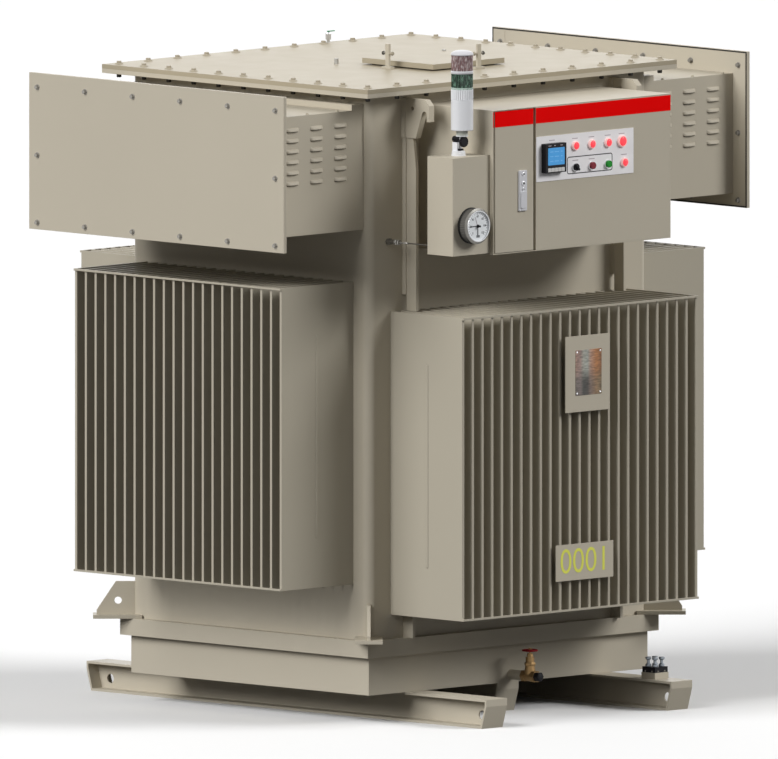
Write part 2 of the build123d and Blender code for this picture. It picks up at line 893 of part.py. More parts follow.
with BuildPart() as tower_knob:
    with BuildSketch(pivot_plane(knob_back)):
        Circle(tower_knob_size / 2)
    extrude(amount=tower_knob_thick)
save(tower_knob, "tower_knob")

# Everything on the drum is a ribbed round, with a flat for each rib
with BuildPart() as tower_body:
    with BuildSketch(pivot_plane(arm_back)):
        Circle(plate_half)
        with Locations((0, (tower_neck_bottom - tower_pivot_height) / 2)):
            Rectangle(tower_plate_width, tower_neck_bottom - tower_pivot_height)
        Circle(tower_pin / 2 + tower_plate_gap / 2, mode=Mode.SUBTRACT)
    extrude(amount=tower_arm)
    for low, high, size in (
        (tower_neck_bottom, tower_neck_top, tower_neck),
        (tower_neck_top, tower_body_top, tower_size),
    ):
        with BuildSketch(Plane.XY.offset(gauge_top + low)):
            with Locations((tower_x, drum_y)):
                RegularPolygon(size / 2, tower_ribs)
        extrude(amount=high - low)
save(tower_body, "tower_body")

for name, low, high in (
    ("green_lens", tower_body_top, tower_green_top),
    ("red_lens", tower_ring_top, tower_red_top),
):
    with BuildPart() as lens:
        with BuildSketch(Plane.XY.offset(gauge_top + low)):
            with Locations((tower_x, drum_y)):
                RegularPolygon(tower_size / 2 - tower_lens_inset, tower_ribs)
        extrude(amount=high - low)
    save(lens, name)

with BuildPart() as tower_cap:
    for low, high in ((tower_green_top, tower_ring_top), (tower_red_top, tower_cap_top)):
        with BuildSketch(Plane.XY.offset(gauge_top + low)):
            with Locations((tower_x, drum_y)):
                RegularPolygon(tower_size / 2, tower_ribs)
        extrude(amount=high - low)
    chamfer(tower_cap.edges().group_by(Axis.Z)[-1], tower_cap_chamfer)
save(tower_cap, "tower_cap")

# Drain pipe, gate valve, handwheel and outlet plug at the foot of the front wall
drain_plane = Plane(origin=(drain_x, -front_face, drain_height), x_dir=(1, 0, 0), z_dir=(0, -1, 0))
valve_start = front_face + drain_pipe_reach
valve_y = -(valve_start + valve_length / 2)
with BuildPart() as drain_pipe_piece:
    with BuildSketch(drain_plane):
        Circle(drain_pipe / 2)
    extrude(amount=drain_pipe_reach)
save(drain_pipe_piece, "drain_pipe")

valve_stack = Plane.XY.offset(drain_height)
with BuildPart() as valve_body:
    with BuildSketch(drain_plane.offset(drain_pipe_reach)):
        RegularPolygon(valve_bore_size / 2, 6)
    extrude(amount=valve_length / 4)
    with BuildSketch(drain_plane.offset(drain_pipe_reach + valve_length)):
        RegularPolygon(valve_bore_size / 2, 6)
    extrude(amount=-valve_length / 4)
    with BuildSketch(drain_plane.offset(drain_pipe_reach)):
        Circle(valve_bore_size / 2 - wheel_rim / 2)
    extrude(amount=valve_length)
    for size, top in ((valve_bonnet, valve_bonnet_top), (valve_gland, valve_gland_top),
                      (valve_stem, wheel_height + wheel_hub_thick / 2 + wheel_clearance)):
        with BuildSketch(valve_stack):
            with Locations((drain_x, valve_y)):
                Circle(size / 2)
        extrude(amount=top)
    nut_bottom = drain_height + wheel_height + wheel_hub_thick / 2 + wheel_clearance
    with BuildSketch(Plane.XY.offset(nut_bottom)):
        with Locations((drain_x, valve_y)):
            RegularPolygon(wheel_nut / 2, 6)
    extrude(amount=wheel_nut_thick)
save(valve_body, "drain_valve")

wheel_z = drain_height + wheel_height
wheel_plane = Plane(origin=(drain_x, valve_y, wheel_z))
rim_radius = (wheel_size - wheel_rim) / 2
with BuildPart() as handwheel:
    with BuildSketch(Plane(origin=(drain_x, valve_y, wheel_z), x_dir=(1, 0, 0), z_dir=(0, -1, 0))):
        with Locations((rim_radius, 0)):
            RegularPolygon(wheel_rim / 2, 6)
    revolve(axis=Axis((drain_x, valve_y, wheel_z), (0, 0, 1)))
    with BuildSketch(wheel_plane):
        Rectangle(2 * rim_radius, wheel_spoke)
        Rectangle(wheel_spoke, 2 * rim_radius)
    extrude(amount=wheel_rim / 4, both=True)
    with BuildSketch(wheel_plane):
        Circle(wheel_hub / 2)
    extrude(amount=wheel_hub_thick / 2, both=True)
    with BuildSketch(wheel_plane):
        Circle(valve_stem / 2 + wheel_clearance)
    extrude(amount=wheel_hub_thick, both=True, mode=Mode.SUBTRACT)
save(handwheel, "handwheel")

with BuildPart() as outlet_plug:
    with BuildSketch(drain_plane.offset(drain_pipe_reach + valve_length)):
        RegularPolygon(plug_size / 2, 6)
    extrude(amount=plug_length)
save(outlet_plug, "outlet_plug")

# Earthing studs on an insulating slab, standing on the right skid
stud_y = stud_inset - skid_half
slab_top = beam_height + stud_base_height + stud_slab_height
with BuildPart() as stud_support:
    with BuildSketch(Plane.XY.offset(beam_height)):
        with Locations((skid_x, stud_y)):
            Rectangle(stud_base, stud_base)
    extrude(amount=stud_base_height)
save(stud_support, "stud_support")

with BuildPart() as stud_slab:
    with BuildSketch(Plane.XY.offset(slab_top - stud_slab_height)):
        with Locations((skid_x, stud_y)):
            Rectangle(stud_base - 2 * stud_slab_inset, stud_base - 2 * stud_slab_inset)
    extrude(amount=stud_slab_height)
save(stud_slab, "stud_slab")

with BuildPart() as earth_studs:
    for size, low, high in (
        (stud_head, 0, stud_head_height),
        (stud_waist, stud_head_height, stud_height - stud_head_height),
        (stud_head, stud_height - stud_head_height, stud_height),
    ):
        with BuildSketch(Plane.XY.offset(slab_top + low)):
            with Locations((skid_x, stud_y)):
                with GridLocations(stud_pitch, stud_pitch, 2, 2):
                    RegularPolygon(size / 2, 12)
        extrude(amount=high - low)
save(earth_studs, "earth_studs")


def make_plate(name, fins, x, bottom, width, height, depth):
    """A flat plate on two upright rails that stand on fins, counted from the middle fin."""
    fin_edge = front_face + fin_depth
    pitch = (front_fin_span - fin_thick) / (front_fin_count - 1)
    with BuildPart() as plate:
        with BuildSketch(wall_plane(FRONT, fin_edge, bottom)):
            with Locations(*[(fin * pitch, height / 2) for fin in fins]):
                Rectangle(plate_rail, height - 2 * plate_rail_inset)
        extrude(amount=depth - plate_sheet)
        with BuildSketch(wall_plane(FRONT, fin_edge + depth - plate_sheet, bottom)):
            with Locations((x, height / 2)):
                Rectangle(width, height)
        extrude(amount=plate_sheet)
    save(plate, name)


bracket_bottom = front_fin_bottom + front_fin_height - bracket_drop - bracket_height
number_bottom = front_fin_bottom + number_rise
make_plate("rating_bracket", bracket_fins, bracket_x, bracket_bottom, bracket_width, bracket_height,
           bracket_depth)
make_plate("number_plate", number_fins, number_x, number_bottom, number_width, number_height, number_depth)
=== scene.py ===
"""Looks of an oil-filled induction voltage regulator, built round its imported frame.

Lengths are in metres. +X runs to the right along the front, -Y points out of the front
and +Z is up, as in the frame. Every shape is worked out with numpy as a whole array.
"""

import logging
import math
from collections.abc import Sequence
from dataclasses import dataclass, field
from enum import Enum

import bmesh
import bpy
import numpy as np
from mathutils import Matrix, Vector


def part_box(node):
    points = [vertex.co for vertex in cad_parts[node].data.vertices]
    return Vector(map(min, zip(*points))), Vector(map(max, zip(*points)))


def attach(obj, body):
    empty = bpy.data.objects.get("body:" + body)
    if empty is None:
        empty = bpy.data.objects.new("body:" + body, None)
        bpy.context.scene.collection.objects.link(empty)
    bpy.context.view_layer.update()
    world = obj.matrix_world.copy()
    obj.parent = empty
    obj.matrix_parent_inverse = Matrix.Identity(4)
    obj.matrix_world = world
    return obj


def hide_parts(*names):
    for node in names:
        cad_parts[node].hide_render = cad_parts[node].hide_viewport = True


Array = np.ndarray
Colour = tuple[float, float, float, float]
Nodes = tuple[str, ...]
Profile = Sequence[tuple[float, float]]

MM = 0.001
TURN = 2 * math.pi
LOG = logging.getLogger("regulator")

# A Mix node has several sockets of one name, so its two colours and its result go by number.
MIX_FIRST, MIX_SECOND, MIX_OUT = 6, 7, 2

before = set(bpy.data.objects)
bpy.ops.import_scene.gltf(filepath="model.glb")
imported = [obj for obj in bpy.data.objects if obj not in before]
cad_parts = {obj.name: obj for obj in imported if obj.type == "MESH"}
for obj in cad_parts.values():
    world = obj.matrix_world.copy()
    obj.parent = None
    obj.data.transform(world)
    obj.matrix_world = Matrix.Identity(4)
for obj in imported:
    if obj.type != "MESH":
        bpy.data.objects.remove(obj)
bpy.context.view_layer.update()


def linear(code: str) -> Colour:
    """Turn an sRGB hex value to a linear colour.

    Args:
        code: six hex digits after a hash sign.

    Returns:
        Red, green, blue and alpha.
    """
    share = np.array([int(code[i : i + 2], 16) for i in (1, 3, 5)]) / 255
    low = share / 12.92
    high = ((share + 0.055) / 1.055) ** 2.4
    red, green, blue = np.where(share <= 0.04045, low, high)
    return (float(red), float(green), float(blue), 1.0)


def grey(level: float) -> Colour:
    """A linear grey."""
    return (level, level, level, 1.0)


def add_node(tree: bpy.types.NodeTree, kind: str, inputs: dict | None = None, **settings) -> bpy.types.Node:
    """Add a shader node with its settings, values and links.

    Args:
        tree: the material's node tree.
        kind: the node's type name.
        inputs: values or output sockets, by input name or number.
        settings: plain attributes of the node.

    Returns:
        The new node.
    """
    node = tree.nodes.new(kind)
    for key, value in settings.items():
        setattr(node, key, value)
    for key, value in (inputs or {}).items():
        if isinstance(value, bpy.types.NodeSocket):
            tree.links.new(value, node.inputs[key])
        else:
            node.inputs[key].default_value = value
    return node


def blank_material(name: str) -> tuple[bpy.types.Material, bpy.types.NodeTree, bpy.types.Node]:
    """Make a material with a Principled shader wired to its output.

    Args:
        name: the material's name.

    Returns:
        The material, its node tree and its shader.
    """
    material = bpy.data.materials.new(name)
    material.use_nodes = True
    tree = material.node_tree
    return material, tree, tree.nodes["Principled BSDF"]


def drifting_colour(tree: bpy.types.NodeTree, where: bpy.types.NodeSocket, code: str, drift: float,
                    scale: float) -> bpy.types.NodeSocket:
    """Mix a colour with a darker one by soft noise.

    Args:
        tree: the material's node tree.
        where: the coordinates that the noise reads.
        code: the colour's sRGB hex value.
        drift: the share by which the darker colour is darker.
        scale: noise features for each metre.

    Returns:
        The socket that carries the mixed colour.
    """
    base = linear(code)
    dark = tuple(c * (1 - drift) for c in base[:3]) + (1.0,)
    noise = add_node(tree, "ShaderNodeTexNoise", {"Vector": where, "Scale": scale, "Detail": 3.0})
    mix = add_node(tree, "ShaderNodeMix", {
        "Factor": noise.outputs["Fac"], MIX_FIRST: base, MIX_SECOND: dark,
    }, data_type="RGBA")
    return mix.outputs[MIX_OUT]


class Finish:
    """A finish that makes its material once and keeps it."""

    name: str

    def build(self) -> bpy.types.Material:
        """Make the material."""
        raise NotImplementedError

    def material(self) -> bpy.types.Material:
        """The finish's material, made the first time that it is asked for."""
        return bpy.data.materials.get(self.name) or self.build()


@dataclass(frozen=True)
class SprayedEnamel(Finish):
    """Semi-gloss enamel sprayed on sheet steel: a fine orange peel and an even, slightly drifting colour.

    The real peel is 2 to 3 mm across. It is drawn coarser, so that it still shows as a soft break
    in the sheen.
    """

    name: str
    code: str
    roughness: float = 0.42
    drift: float = 0.05
    peel: float = 9 * MM
    edge: float = 1.6 * MM
    sheen: float = 0.12

    def build(self) -> bpy.types.Material:
        """Make the enamel's material.

        Returns:
            The material.
        """
        material, tree, shader = blank_material(self.name)
        where = add_node(tree, "ShaderNodeTexCoord").outputs["Object"]
        colour = drifting_colour(tree, where, self.code, self.drift, 2.6)
        tree.links.new(colour, shader.inputs["Base Color"])
        cloud = add_node(tree, "ShaderNodeTexNoise", {"Vector": where, "Scale": 11.0, "Detail": 4.0})
        gloss = add_node(tree, "ShaderNodeMapRange", {
            "Value": cloud.outputs["Fac"], "To Min": self.roughness - 0.06, "To Max": self.roughness + 0.08,
        })
        tree.links.new(gloss.outputs["Result"], shader.inputs["Roughness"])
        corner = add_node(tree, "ShaderNodeBevel", {"Radius": self.edge}, samples=4)
        peel = add_node(tree, "ShaderNodeTexNoise", {"Vector": where, "Scale": 1 / self.peel, "Detail": 1.0})
        bump = add_node(tree, "ShaderNodeBump", {
            "Height": peel.outputs["Fac"], "Strength": 0.12, "Distance": 0.4 * MM,
            "Normal": corner.outputs["Normal"],
        })
        tree.links.new(bump.outputs["Normal"], shader.inputs["Normal"])
        shader.inputs["IOR"].default_value = 1.5
        shader.inputs["Specular IOR Level"].default_value = self.sheen
        return material


@dataclass(frozen=True)
class MouldedPlastic(Finish):
    """Injection-moulded plastic with a faint spark-eroded grain of about half a millimetre."""

    name: str
    code: str
    roughness: float = 0.4
    grain: float = 2 * MM
    glow: float = 0.0
    sheen: float = 0.25

    def build(self) -> bpy.types.Material:
        """Make the plastic's material.

        Returns:
            The material.
        """
        material, tree, shader = blank_material(self.name)
        where = add_node(tree, "ShaderNodeTexCoord").outputs["Object"]
        colour = drifting_colour(tree, where, self.code, 0.06, 30.0)
        tree.links.new(colour, shader.inputs["Base Color"])
        shader.inputs["Roughness"].default_value = self.roughness
        shader.inputs["Specular IOR Level"].default_value = self.sheen
        grain = add_node(tree, "ShaderNodeTexNoise", {"Vector": where, "Scale": 1 / self.grain})
        bump = add_node(tree, "ShaderNodeBump", {
            "Height": grain.outputs["Fac"], "Strength": 0.08, "Distance": 0.2 * MM,
        })
        tree.links.new(bump.outputs["Normal"], shader.inputs["Normal"])
        # A glow lights a lamp or a display. On the lamps' collars it is a painted halo.
        if self.glow:
            shader.inputs["Emission Color"].default_value = linear(self.code)
            shader.inputs["Emission Strength"].default_value = self.glow
        return material


@dataclass(frozen=True)
class ClearAcrylic(Finish):
    """Tinted transparent acrylic, moulded with a slight ripple, with painted glints in its colour."""

    name: str
    code: str
    roughness: float = 0.12
    transmission: float = 0.8
    glint: str = ""
    glint_cell: float = 6 * MM

    def build(self) -> bpy.types.Material:
        """Make the acrylic's material, with painted glints in its colour that stand for those the prisms
        inside it throw.

        Returns:
            The material.
        """
        material, tree, shader = blank_material(self.name)
        where = add_node(tree, "ShaderNodeTexCoord").outputs["Object"]
        colour = drifting_colour(tree, where, self.code, 0.1, 60.0)
        # Painted glints: a pale colour mixed into the base colour in tall noise cells.
        if self.glint:
            tall = add_node(tree, "ShaderNodeMapping", {"Vector": where, "Scale": (1.0, 1.0, 0.4)})
            cells = add_node(tree, "ShaderNodeTexNoise", {
                "Vector": tall.outputs["Vector"], "Scale": 1 / self.glint_cell, "Detail": 1.0,
            })
            share = add_node(tree, "ShaderNodeMapRange", {
                "Value": cells.outputs["Fac"], "From Min": 0.47, "From Max": 0.7, "To Max": 0.9,
            })
            mix = add_node(tree, "ShaderNodeMix", {
                "Factor": share.outputs["Result"], MIX_FIRST: colour, MIX_SECOND: linear(self.glint),
            }, data_type="RGBA")
            colour = mix.outputs[MIX_OUT]
        tree.links.new(colour, shader.inputs["Base Color"])
        shader.inputs["Roughness"].default_value = self.roughness
        shader.inputs["Transmission Weight"].default_value = self.transmission
        shader.inputs["IOR"].default_value = 1.49
        ripple = add_node(tree, "ShaderNodeTexNoise", {"Vector": where, "Scale": 160.0})
        bump = add_node(tree, "ShaderNodeBump", {
            "Height": ripple.outputs["Fac"], "Strength": 0.1, "Distance": 0.3 * MM,
        })
        tree.links.new(bump.outputs["Normal"], shader.inputs["Normal"])
        return material


@dataclass(frozen=True)
class BareMetal(Finish):
    """Bare or plated metal: rolled, cast or brushed, with the streaks or pits that the making leaves."""

    name: str
    code: str
    roughness: float = 0.35
    stretch: tuple[float, float, float] = (1.0, 1.0, 1.0)
    streak: float = 2 * MM
    relief: float = 0.15

    def build(self) -> bpy.types.Material:
        """Make the metal's material.

        Returns:
            The material.
        """
        material, tree, shader = blank_material(self.name)
        where = add_node(tree, "ShaderNodeTexCoord").outputs["Object"]
        mapped = add_node(tree, "ShaderNodeMapping", {"Vector": where, "Scale": self.stretch})
        colour = drifting_colour(tree, where, self.code, 0.16, 45.0)
        tree.links.new(colour, shader.inputs["Base Color"])
        shader.inputs["Metallic"].default_value = 1.0
        streak = add_node(tree, "ShaderNodeTexNoise", {
            "Vector": mapped.outputs["Vector"], "Scale": 1 / self.streak, "Detail": 2.0,
        })
        gloss = add_node(tree, "ShaderNodeMapRange", {
            "Value": streak.outputs["Fac"], "To Min": self.roughness - 0.08, "To Max": self.roughness + 0.12,
        })
        tree.links.new(gloss.outputs["Result"], shader.inputs["Roughness"])
        bump = add_node(tree, "ShaderNodeBump", {
            "Height": streak.outputs["Fac"], "Strength": self.relief, "Distance": 0.2 * MM,
        })
        tree.links.new(bump.outputs["Normal"], shader.inputs["Normal"])
        return material


@dataclass(frozen=True)
class PlateWithPaintedReflection(Finish):
    """A copper-toned metal plate under clear lacquer: a painted reflection in upright bands, with rows of
    fine scratches.

    The painted reflection's bands follow the share of the way across the plate, and the plate is painted
    darker towards its foot as part of the same reflection.
    """

    name: str
    low: tuple[float, float] = (-43 * MM, 1.1)
    size: tuple[float, float] = (125 * MM, 155 * MM)
    # Each band: its share of the way across, then the painted reflection's colour near the top and near the
    # foot.
    reflection_bands: tuple[tuple[float, str, str], ...] = (
        (0.0, "#96786A", "#6E6660"), (0.2, "#8E7870", "#6A605C"), (0.32, "#94948A", "#3E3E3A"),
        (0.48, "#90928A", "#44403C"), (0.6, "#A07E6A", "#74645A"), (0.8, "#A06C42", "#80664C"),
        (1.0, "#7E5638", "#6E6048"),
    )
    scratch: float = 6 * MM

    def build(self) -> bpy.types.Material:
        """Make the plate's material.

        Returns:
            The material.
        """
        material, tree, shader = blank_material(self.name)
        where = add_node(tree, "ShaderNodeTexCoord").outputs["Object"]
        split = add_node(tree, "ShaderNodeSeparateXYZ", {0: where})
        across = add_node(tree, "ShaderNodeMapRange", {
            "Value": split.outputs["X"], "From Min": self.low[0], "From Max": self.low[0] + self.size[0],
        })
        rise = add_node(tree, "ShaderNodeMapRange", {
            "Value": split.outputs["Z"], "From Min": self.low[1] + self.size[1] * 0.3,
            "From Max": self.low[1] + self.size[1] * 0.7,
        }, interpolation_type="SMOOTHSTEP")
        # The painted reflection: the upper colours at the plate's top, the darker ones towards its foot.
        painted_reflection = add_node(tree, "ShaderNodeMix", {"Factor": rise.outputs["Result"]}, data_type="RGBA")
        for socket, column in ((MIX_SECOND, 1), (MIX_FIRST, 2)):
            ramp = add_node(tree, "ShaderNodeValToRGB", {"Fac": across.outputs["Result"]})
            stops = ramp.color_ramp.elements
            for band in self.reflection_bands[1:-1]:
                stops.new(band[0])
            for stop, band in zip(stops, self.reflection_bands):
                stop.color = linear(band[column])
            tree.links.new(ramp.outputs["Color"], painted_reflection.inputs[socket])
        flat = add_node(tree, "ShaderNodeMapping", {"Vector": where, "Scale": (0.25, 1.0, 1.0)})
        rows = add_node(tree, "ShaderNodeTexNoise", {
            "Vector": flat.outputs["Vector"], "Scale": 1 / self.scratch, "Detail": 2.0,
        })
        wear = add_node(tree, "ShaderNodeMapRange", {
            "Value": rows.outputs["Fac"], "From Min": 0.35, "From Max": 0.65, "To Min": 0.65, "To Max": 1.25,
        })
        shade = add_node(tree, "ShaderNodeVectorMath", {0: painted_reflection.outputs[MIX_OUT]}, operation="SCALE")
        tree.links.new(wear.outputs["Result"], shade.inputs["Scale"])
        tree.links.new(shade.outputs["Vector"], shader.inputs["Base Color"])
        shader.inputs["Metallic"].default_value = 0.3
        shader.inputs["Roughness"].default_value = 0.35
        bump = add_node(tree, "ShaderNodeBump", {
            "Height": rows.outputs["Fac"], "Strength": 0.2, "Distance": 0.2 * MM,
        })
        tree.links.new(bump.outputs["Normal"], shader.inputs["Normal"])
        return material


PEBBLE_ENAMEL = SprayedEnamel("pebble_grey_enamel", "#BEB6A5")
# The fins in a darker copy of the pebble enamel: painted shade on the radiators.
FIN_ENAMEL_PAINTED_SHADE = SprayedEnamel("pebble_grey_enamel_fins", "#B2AB9B", roughness=0.46)
# The lid and hatch in a darker copy of the pebble enamel: painted shade on the lid's top.
LID_ENAMEL_PAINTED_SHADE = SprayedEnamel("pebble_grey_enamel_lid", "#A89E89")
# Washers, bolt heads, clamp pins and top screws in a darker copy of the pebble enamel: painted shade on
# small fittings.
FITTING_ENAMEL_PAINTED_SHADE = SprayedEnamel("pebble_grey_enamel_worn", "#ABA290", roughness=0.5, edge=0.5 * MM)
RED_ENAMEL = SprayedEnamel("red_stripe_enamel", "#F00000", roughness=0.4, drift=0.02, edge=0.1 * MM,
                           sheen=0.05)
WHITE_ENAMEL = SprayedEnamel("white_panel_enamel", "#F6F4F5", roughness=0.38, drift=0.02, edge=0.5 * MM)
BLACK_MOULDING = MouldedPlastic("black_abs", "#131216", roughness=0.42, sheen=0.15)
# Black: real rubber on the gaskets, and painted shade in the louvers' openings.
BLACK_RUBBER_AND_SHADE = MouldedPlastic("black_gasket_rubber", "#1E1D1B", roughness=0.7)
GREY_MOULDING = MouldedPlastic("grey_key_abs", "#D6D5D3", roughness=0.5)
WHITE_MOULDING = MouldedPlastic("white_tower_abs", "#E2E3E6", roughness=0.32)
CAP_MOULDING = MouldedPlastic("white_cap_abs", "#CFCED1", roughness=0.36)
INK_BLACK = MouldedPlastic("black_screen_ink", "#26262A", roughness=0.6)
INK_SLATE = MouldedPlastic("slate_screen_ink", "#77797C", roughness=0.6)
INK_GREY = MouldedPlastic("grey_screen_ink", "#B2A8AE", roughness=0.6)
YELLOW_INK = MouldedPlastic("yellow_screen_ink", "#DEE060", roughness=0.5)
LAMP_ACRYLIC = MouldedPlastic("lit_lamp_acrylic", "#F5444E", roughness=0.2, glow=0.6)
# The lamps' collars: a pale ring whose faint glow is a painted halo round the lit lamp.
COLLAR_ACRYLIC_PAINTED_HALO = MouldedPlastic("collar_acrylic_painted_halo", "#F8CCC8", roughness=0.3, glow=0.2)
BUTTON_MAROON = MouldedPlastic("maroon_button_abs", "#842834", roughness=0.35)
BUTTON_GREEN = MouldedPlastic("green_button_abs", "#0C8A24", roughness=0.35)
SCREEN_BLUE = MouldedPlastic("blue_display", "#4A9CDB", roughness=0.2, glow=0.2)
SCREEN_MARKS = MouldedPlastic("blue_display_marks", "#6DB4E6", roughness=0.2, glow=0.2)
GREEN_ACRYLIC = ClearAcrylic("green_lens_acrylic", "#103B27", transmission=0.4, glint="#82B096")
MINT_ACRYLIC = ClearAcrylic("mint_lens_acrylic", "#C8E0D4", transmission=0.3, glint="#F0F6F2", glint_cell=4 * MM)
RED_ACRYLIC = ClearAcrylic("red_lens_acrylic", "#8F6C6C", transmission=0.4, glint="#E8DAD8")
NECK_ACRYLIC = ClearAcrylic("clear_neck_acrylic", "#D6DAD2", roughness=0.3, transmission=0.3)
LENS_CORE = MouldedPlastic("lens_core_abs", "#8A8684", roughness=0.5)
ZINC_PLATE = BareMetal("zinc_plated_steel", "#B6B4AF", roughness=0.38)
DARK_ZINC = BareMetal("dark_zinc_steel", "#74716A", roughness=0.5)
BOLT_ZINC = BareMetal("dull_zinc_bolts", "#96938D", roughness=0.5)
# Black steel: painted shade on the lid's nuts under the flange and in the lock's holes.
BLACK_STEEL_PAINTED_SHADE = BareMetal("black_steel_painted_shade", "#3C3A38", roughness=0.5)
SATIN_CHROME = BareMetal("satin_chrome", "#D4D5D7", roughness=0.26, relief=0.05)
LOCK_CHROME = SprayedEnamel("silver_lock_enamel", "#D2D2D6", roughness=0.3, drift=0.08, edge=0.6 * MM,
                            sheen=0.5)
# The rating plate, its colour a painted reflection.
PLATE_PAINTED_REFLECTION = PlateWithPaintedReflection("brushed_copper_toned_plate")
CAST_BRASS = BareMetal("cast_brass", "#8E7450", roughness=0.5, streak=3 * MM, relief=0.35)
HANDWHEEL_RED = SprayedEnamel("red_wheel_enamel", "#9E2228", roughness=0.35, edge=0.5 * MM)
HANDLE_GREEN = SprayedEnamel("green_handle_enamel", "#1C7A4A", roughness=0.35, edge=0.5 * MM)
CASE_ENAMEL = SprayedEnamel("dial_case_enamel", "#5C5A56", roughness=0.45, edge=0.5 * MM)
RING_STEEL = BareMetal("dial_ring_steel", "#807E79", roughness=0.42)
STUD_STEEL = BareMetal("stud_steel", "#8C9298", roughness=0.4)
DIAL_WHITE = MouldedPlastic("white_dial_enamel", "#EDF0F2", roughness=0.35)


class Facing(Enum):
    """Which way a piece's face points: its local right, up and out axes."""

    FRONT = ((1, 0, 0), (0, 0, 1), (0, -1, 0))
    BACK = ((-1, 0, 0), (0, 0, 1), (0, 1, 0))
    LEFT = ((0, -1, 0), (0, 0, 1), (-1, 0, 0))
    RIGHT = ((0, 1, 0), (0, 0, 1), (1, 0, 0))
    UP = ((1, 0, 0), (0, 1, 0), (0, 0, 1))
    DOWN = ((1, 0, 0), (0, -1, 0), (0, 0, -1))

    def place(self, points: Array, origin: Sequence[float]) -> Array:
        """Turn local points to this facing and move them to an origin.

        Args:
            points: local points, whose last axis is right, up and out.
            origin: where the local zero goes.

        Returns:
            The points in the frame.
        """
        return points @ np.array(self.value, float) + np.asarray(origin, float)

    def out(self) -> Array:
        """The direction that the face points in."""
        return np.array(self.value[2], float)


@dataclass
class Shell:
    """A growing set of points and faces that becomes one mesh."""

    points: list[Array] = field(default_factory=list)
    quads: list[Array] = field(default_factory=list)
    caps: list[Array] = field(default_factory=list)
    size: int = 0

    def grid(self, rows: Array, wrap: bool = True, capped: bool = True) -> "Shell":
        """Add a grid of points, row by row, as a skin of four-sided faces.

        Args:
            rows: an array of rows, points along each row, and three axes.
            wrap: whether each row closes on itself.
            capped: whether the first and last rows are filled.

        Returns:
            This shell.
        """
        count, along = rows.shape[:2]
        index = np.arange(count * along).reshape(count, along) + self.size
        ahead = np.roll(index, -1, axis=1) if wrap else index[:, 1:]
        here = index if wrap else index[:, :-1]
        faces = np.stack([here[:-1], ahead[:-1], ahead[1:], here[1:]], axis=-1)
        self.points.append(rows.reshape(-1, 3))
        self.quads.append(faces.reshape(-1, 4))
        if capped and wrap:
            self.caps += [index[0][::-1], index[-1]]
        self.size += count * along
        return self

    def copies(self, offsets: Array) -> "Shell":
        """Repeat everything in the shell at each offset.

        Args:
            offsets: one row of three values for each copy.

        Returns:
            A new shell with all the copies.
        """
        offsets = np.asarray(offsets, float).reshape(-1, 3)
        points = np.concatenate(self.points)
        many = (points[None] + offsets[:, None]).reshape(-1, 3)
        steps = np.arange(len(offsets)) * self.size
        quads = (np.concatenate(self.quads)[None] + steps[:, None, None]).reshape(-1, 4)
        caps = [cap + step for step in steps for cap in self.caps]
        return Shell([many], [quads], caps, len(many))

    def join(self, other: "Shell") -> "Shell":
        """Add another shell's points and faces to this one.

        Args:
            other: the shell to add.

        Returns:
            This shell.
        """
        self.points += other.points
        self.quads += [quads + self.size for quads in other.quads]
        self.caps += [cap + self.size for cap in other.caps]
        self.size += other.size
        return self

    def placed(self, facing: Facing, origin: Sequence[float] = (0.0, 0.0, 0.0)) -> "Shell":
        """Turn the whole shell to a facing and move it.

        Args:
            facing: which way its local out goes.
            origin: where the local zero goes.

        Returns:
            This shell.
        """
        self.points = [facing.place(np.concatenate(self.points), origin)]
        return self

    def moved(self, offset: Sequence[float]) -> "Shell":
        """Move the whole shell.

        Args:
            offset: how far, along the three axes.

        Returns:
            This shell.
        """
        self.points = [points + np.asarray(offset, float) for points in self.points]
        return self

    def spun(self, angle: float) -> "Shell":
        """Turn the whole shell anticlockwise about local out.

        Args:
            angle: how far, in radians.

        Returns:
            This shell.
        """
        cos, sin = math.cos(angle), math.sin(angle)
        turn = np.array([[cos, sin, 0], [-sin, cos, 0], [0, 0, 1]])
        self.points = [points @ turn for points in self.points]
        return self


def in_mm(profile: Profile) -> Profile:
    """Turn a profile written in millimetres to metres."""
    return [(radius * MM, level * MM) for radius, level in profile]


def ring(radius: float, segments: int = 32, lift: float = 0.0) -> Array:
    """Points on a circle: radius times cosine and sine of the angle, at a height.

    Args:
        radius: the circle's radius.
        segments: points round it.
        lift: its height along local out.

    Returns:
        One row of three values for each point.
    """
    angle = np.arange(segments) * TURN / segments
    return np.stack([radius * np.cos(angle), radius * np.sin(angle), np.full(segments, lift)], axis=-1)


def turned(profile: Profile, segments: int = 32, capped: bool = True) -> Shell:
    """A surface of revolution: each profile point becomes a circle of its radius at its height.

    Args:
        profile: pairs of radius and height, from one end to the other.
        segments: points round each circle. Six gives a hexagon.
        capped: whether both ends are filled. They stay open where the profile closes on itself.

    Returns:
        A closed shell, its axis along local out.
    """
    rows = np.stack([ring(radius, segments, height) for radius, height in profile])
    return Shell().grid(rows, capped=capped)


def fluted(profile: Profile, radius: float, depth: float, flutes: int, points_each: int = 6) -> Array:
    """Rows of a fluted drum: its radius swings with the cosine of the angle times the number of flutes.

    Args:
        profile: pairs of a share of the radius and a height, from one end to the other.
        radius: radius on the ridges.
        depth: depth of the flutes.
        flutes: how many there are.
        points_each: points on each flute.

    Returns:
        Rows of points for Shell.grid.
    """
    angle = np.arange(flutes * points_each) * TURN / (flutes * points_each)
    swing = radius - depth * (0.5 - 0.5 * np.cos(angle * flutes))
    circle = np.stack([swing * np.cos(angle), swing * np.sin(angle)], axis=-1)
    return np.stack([raised(share * circle, lift) for share, lift in profile])


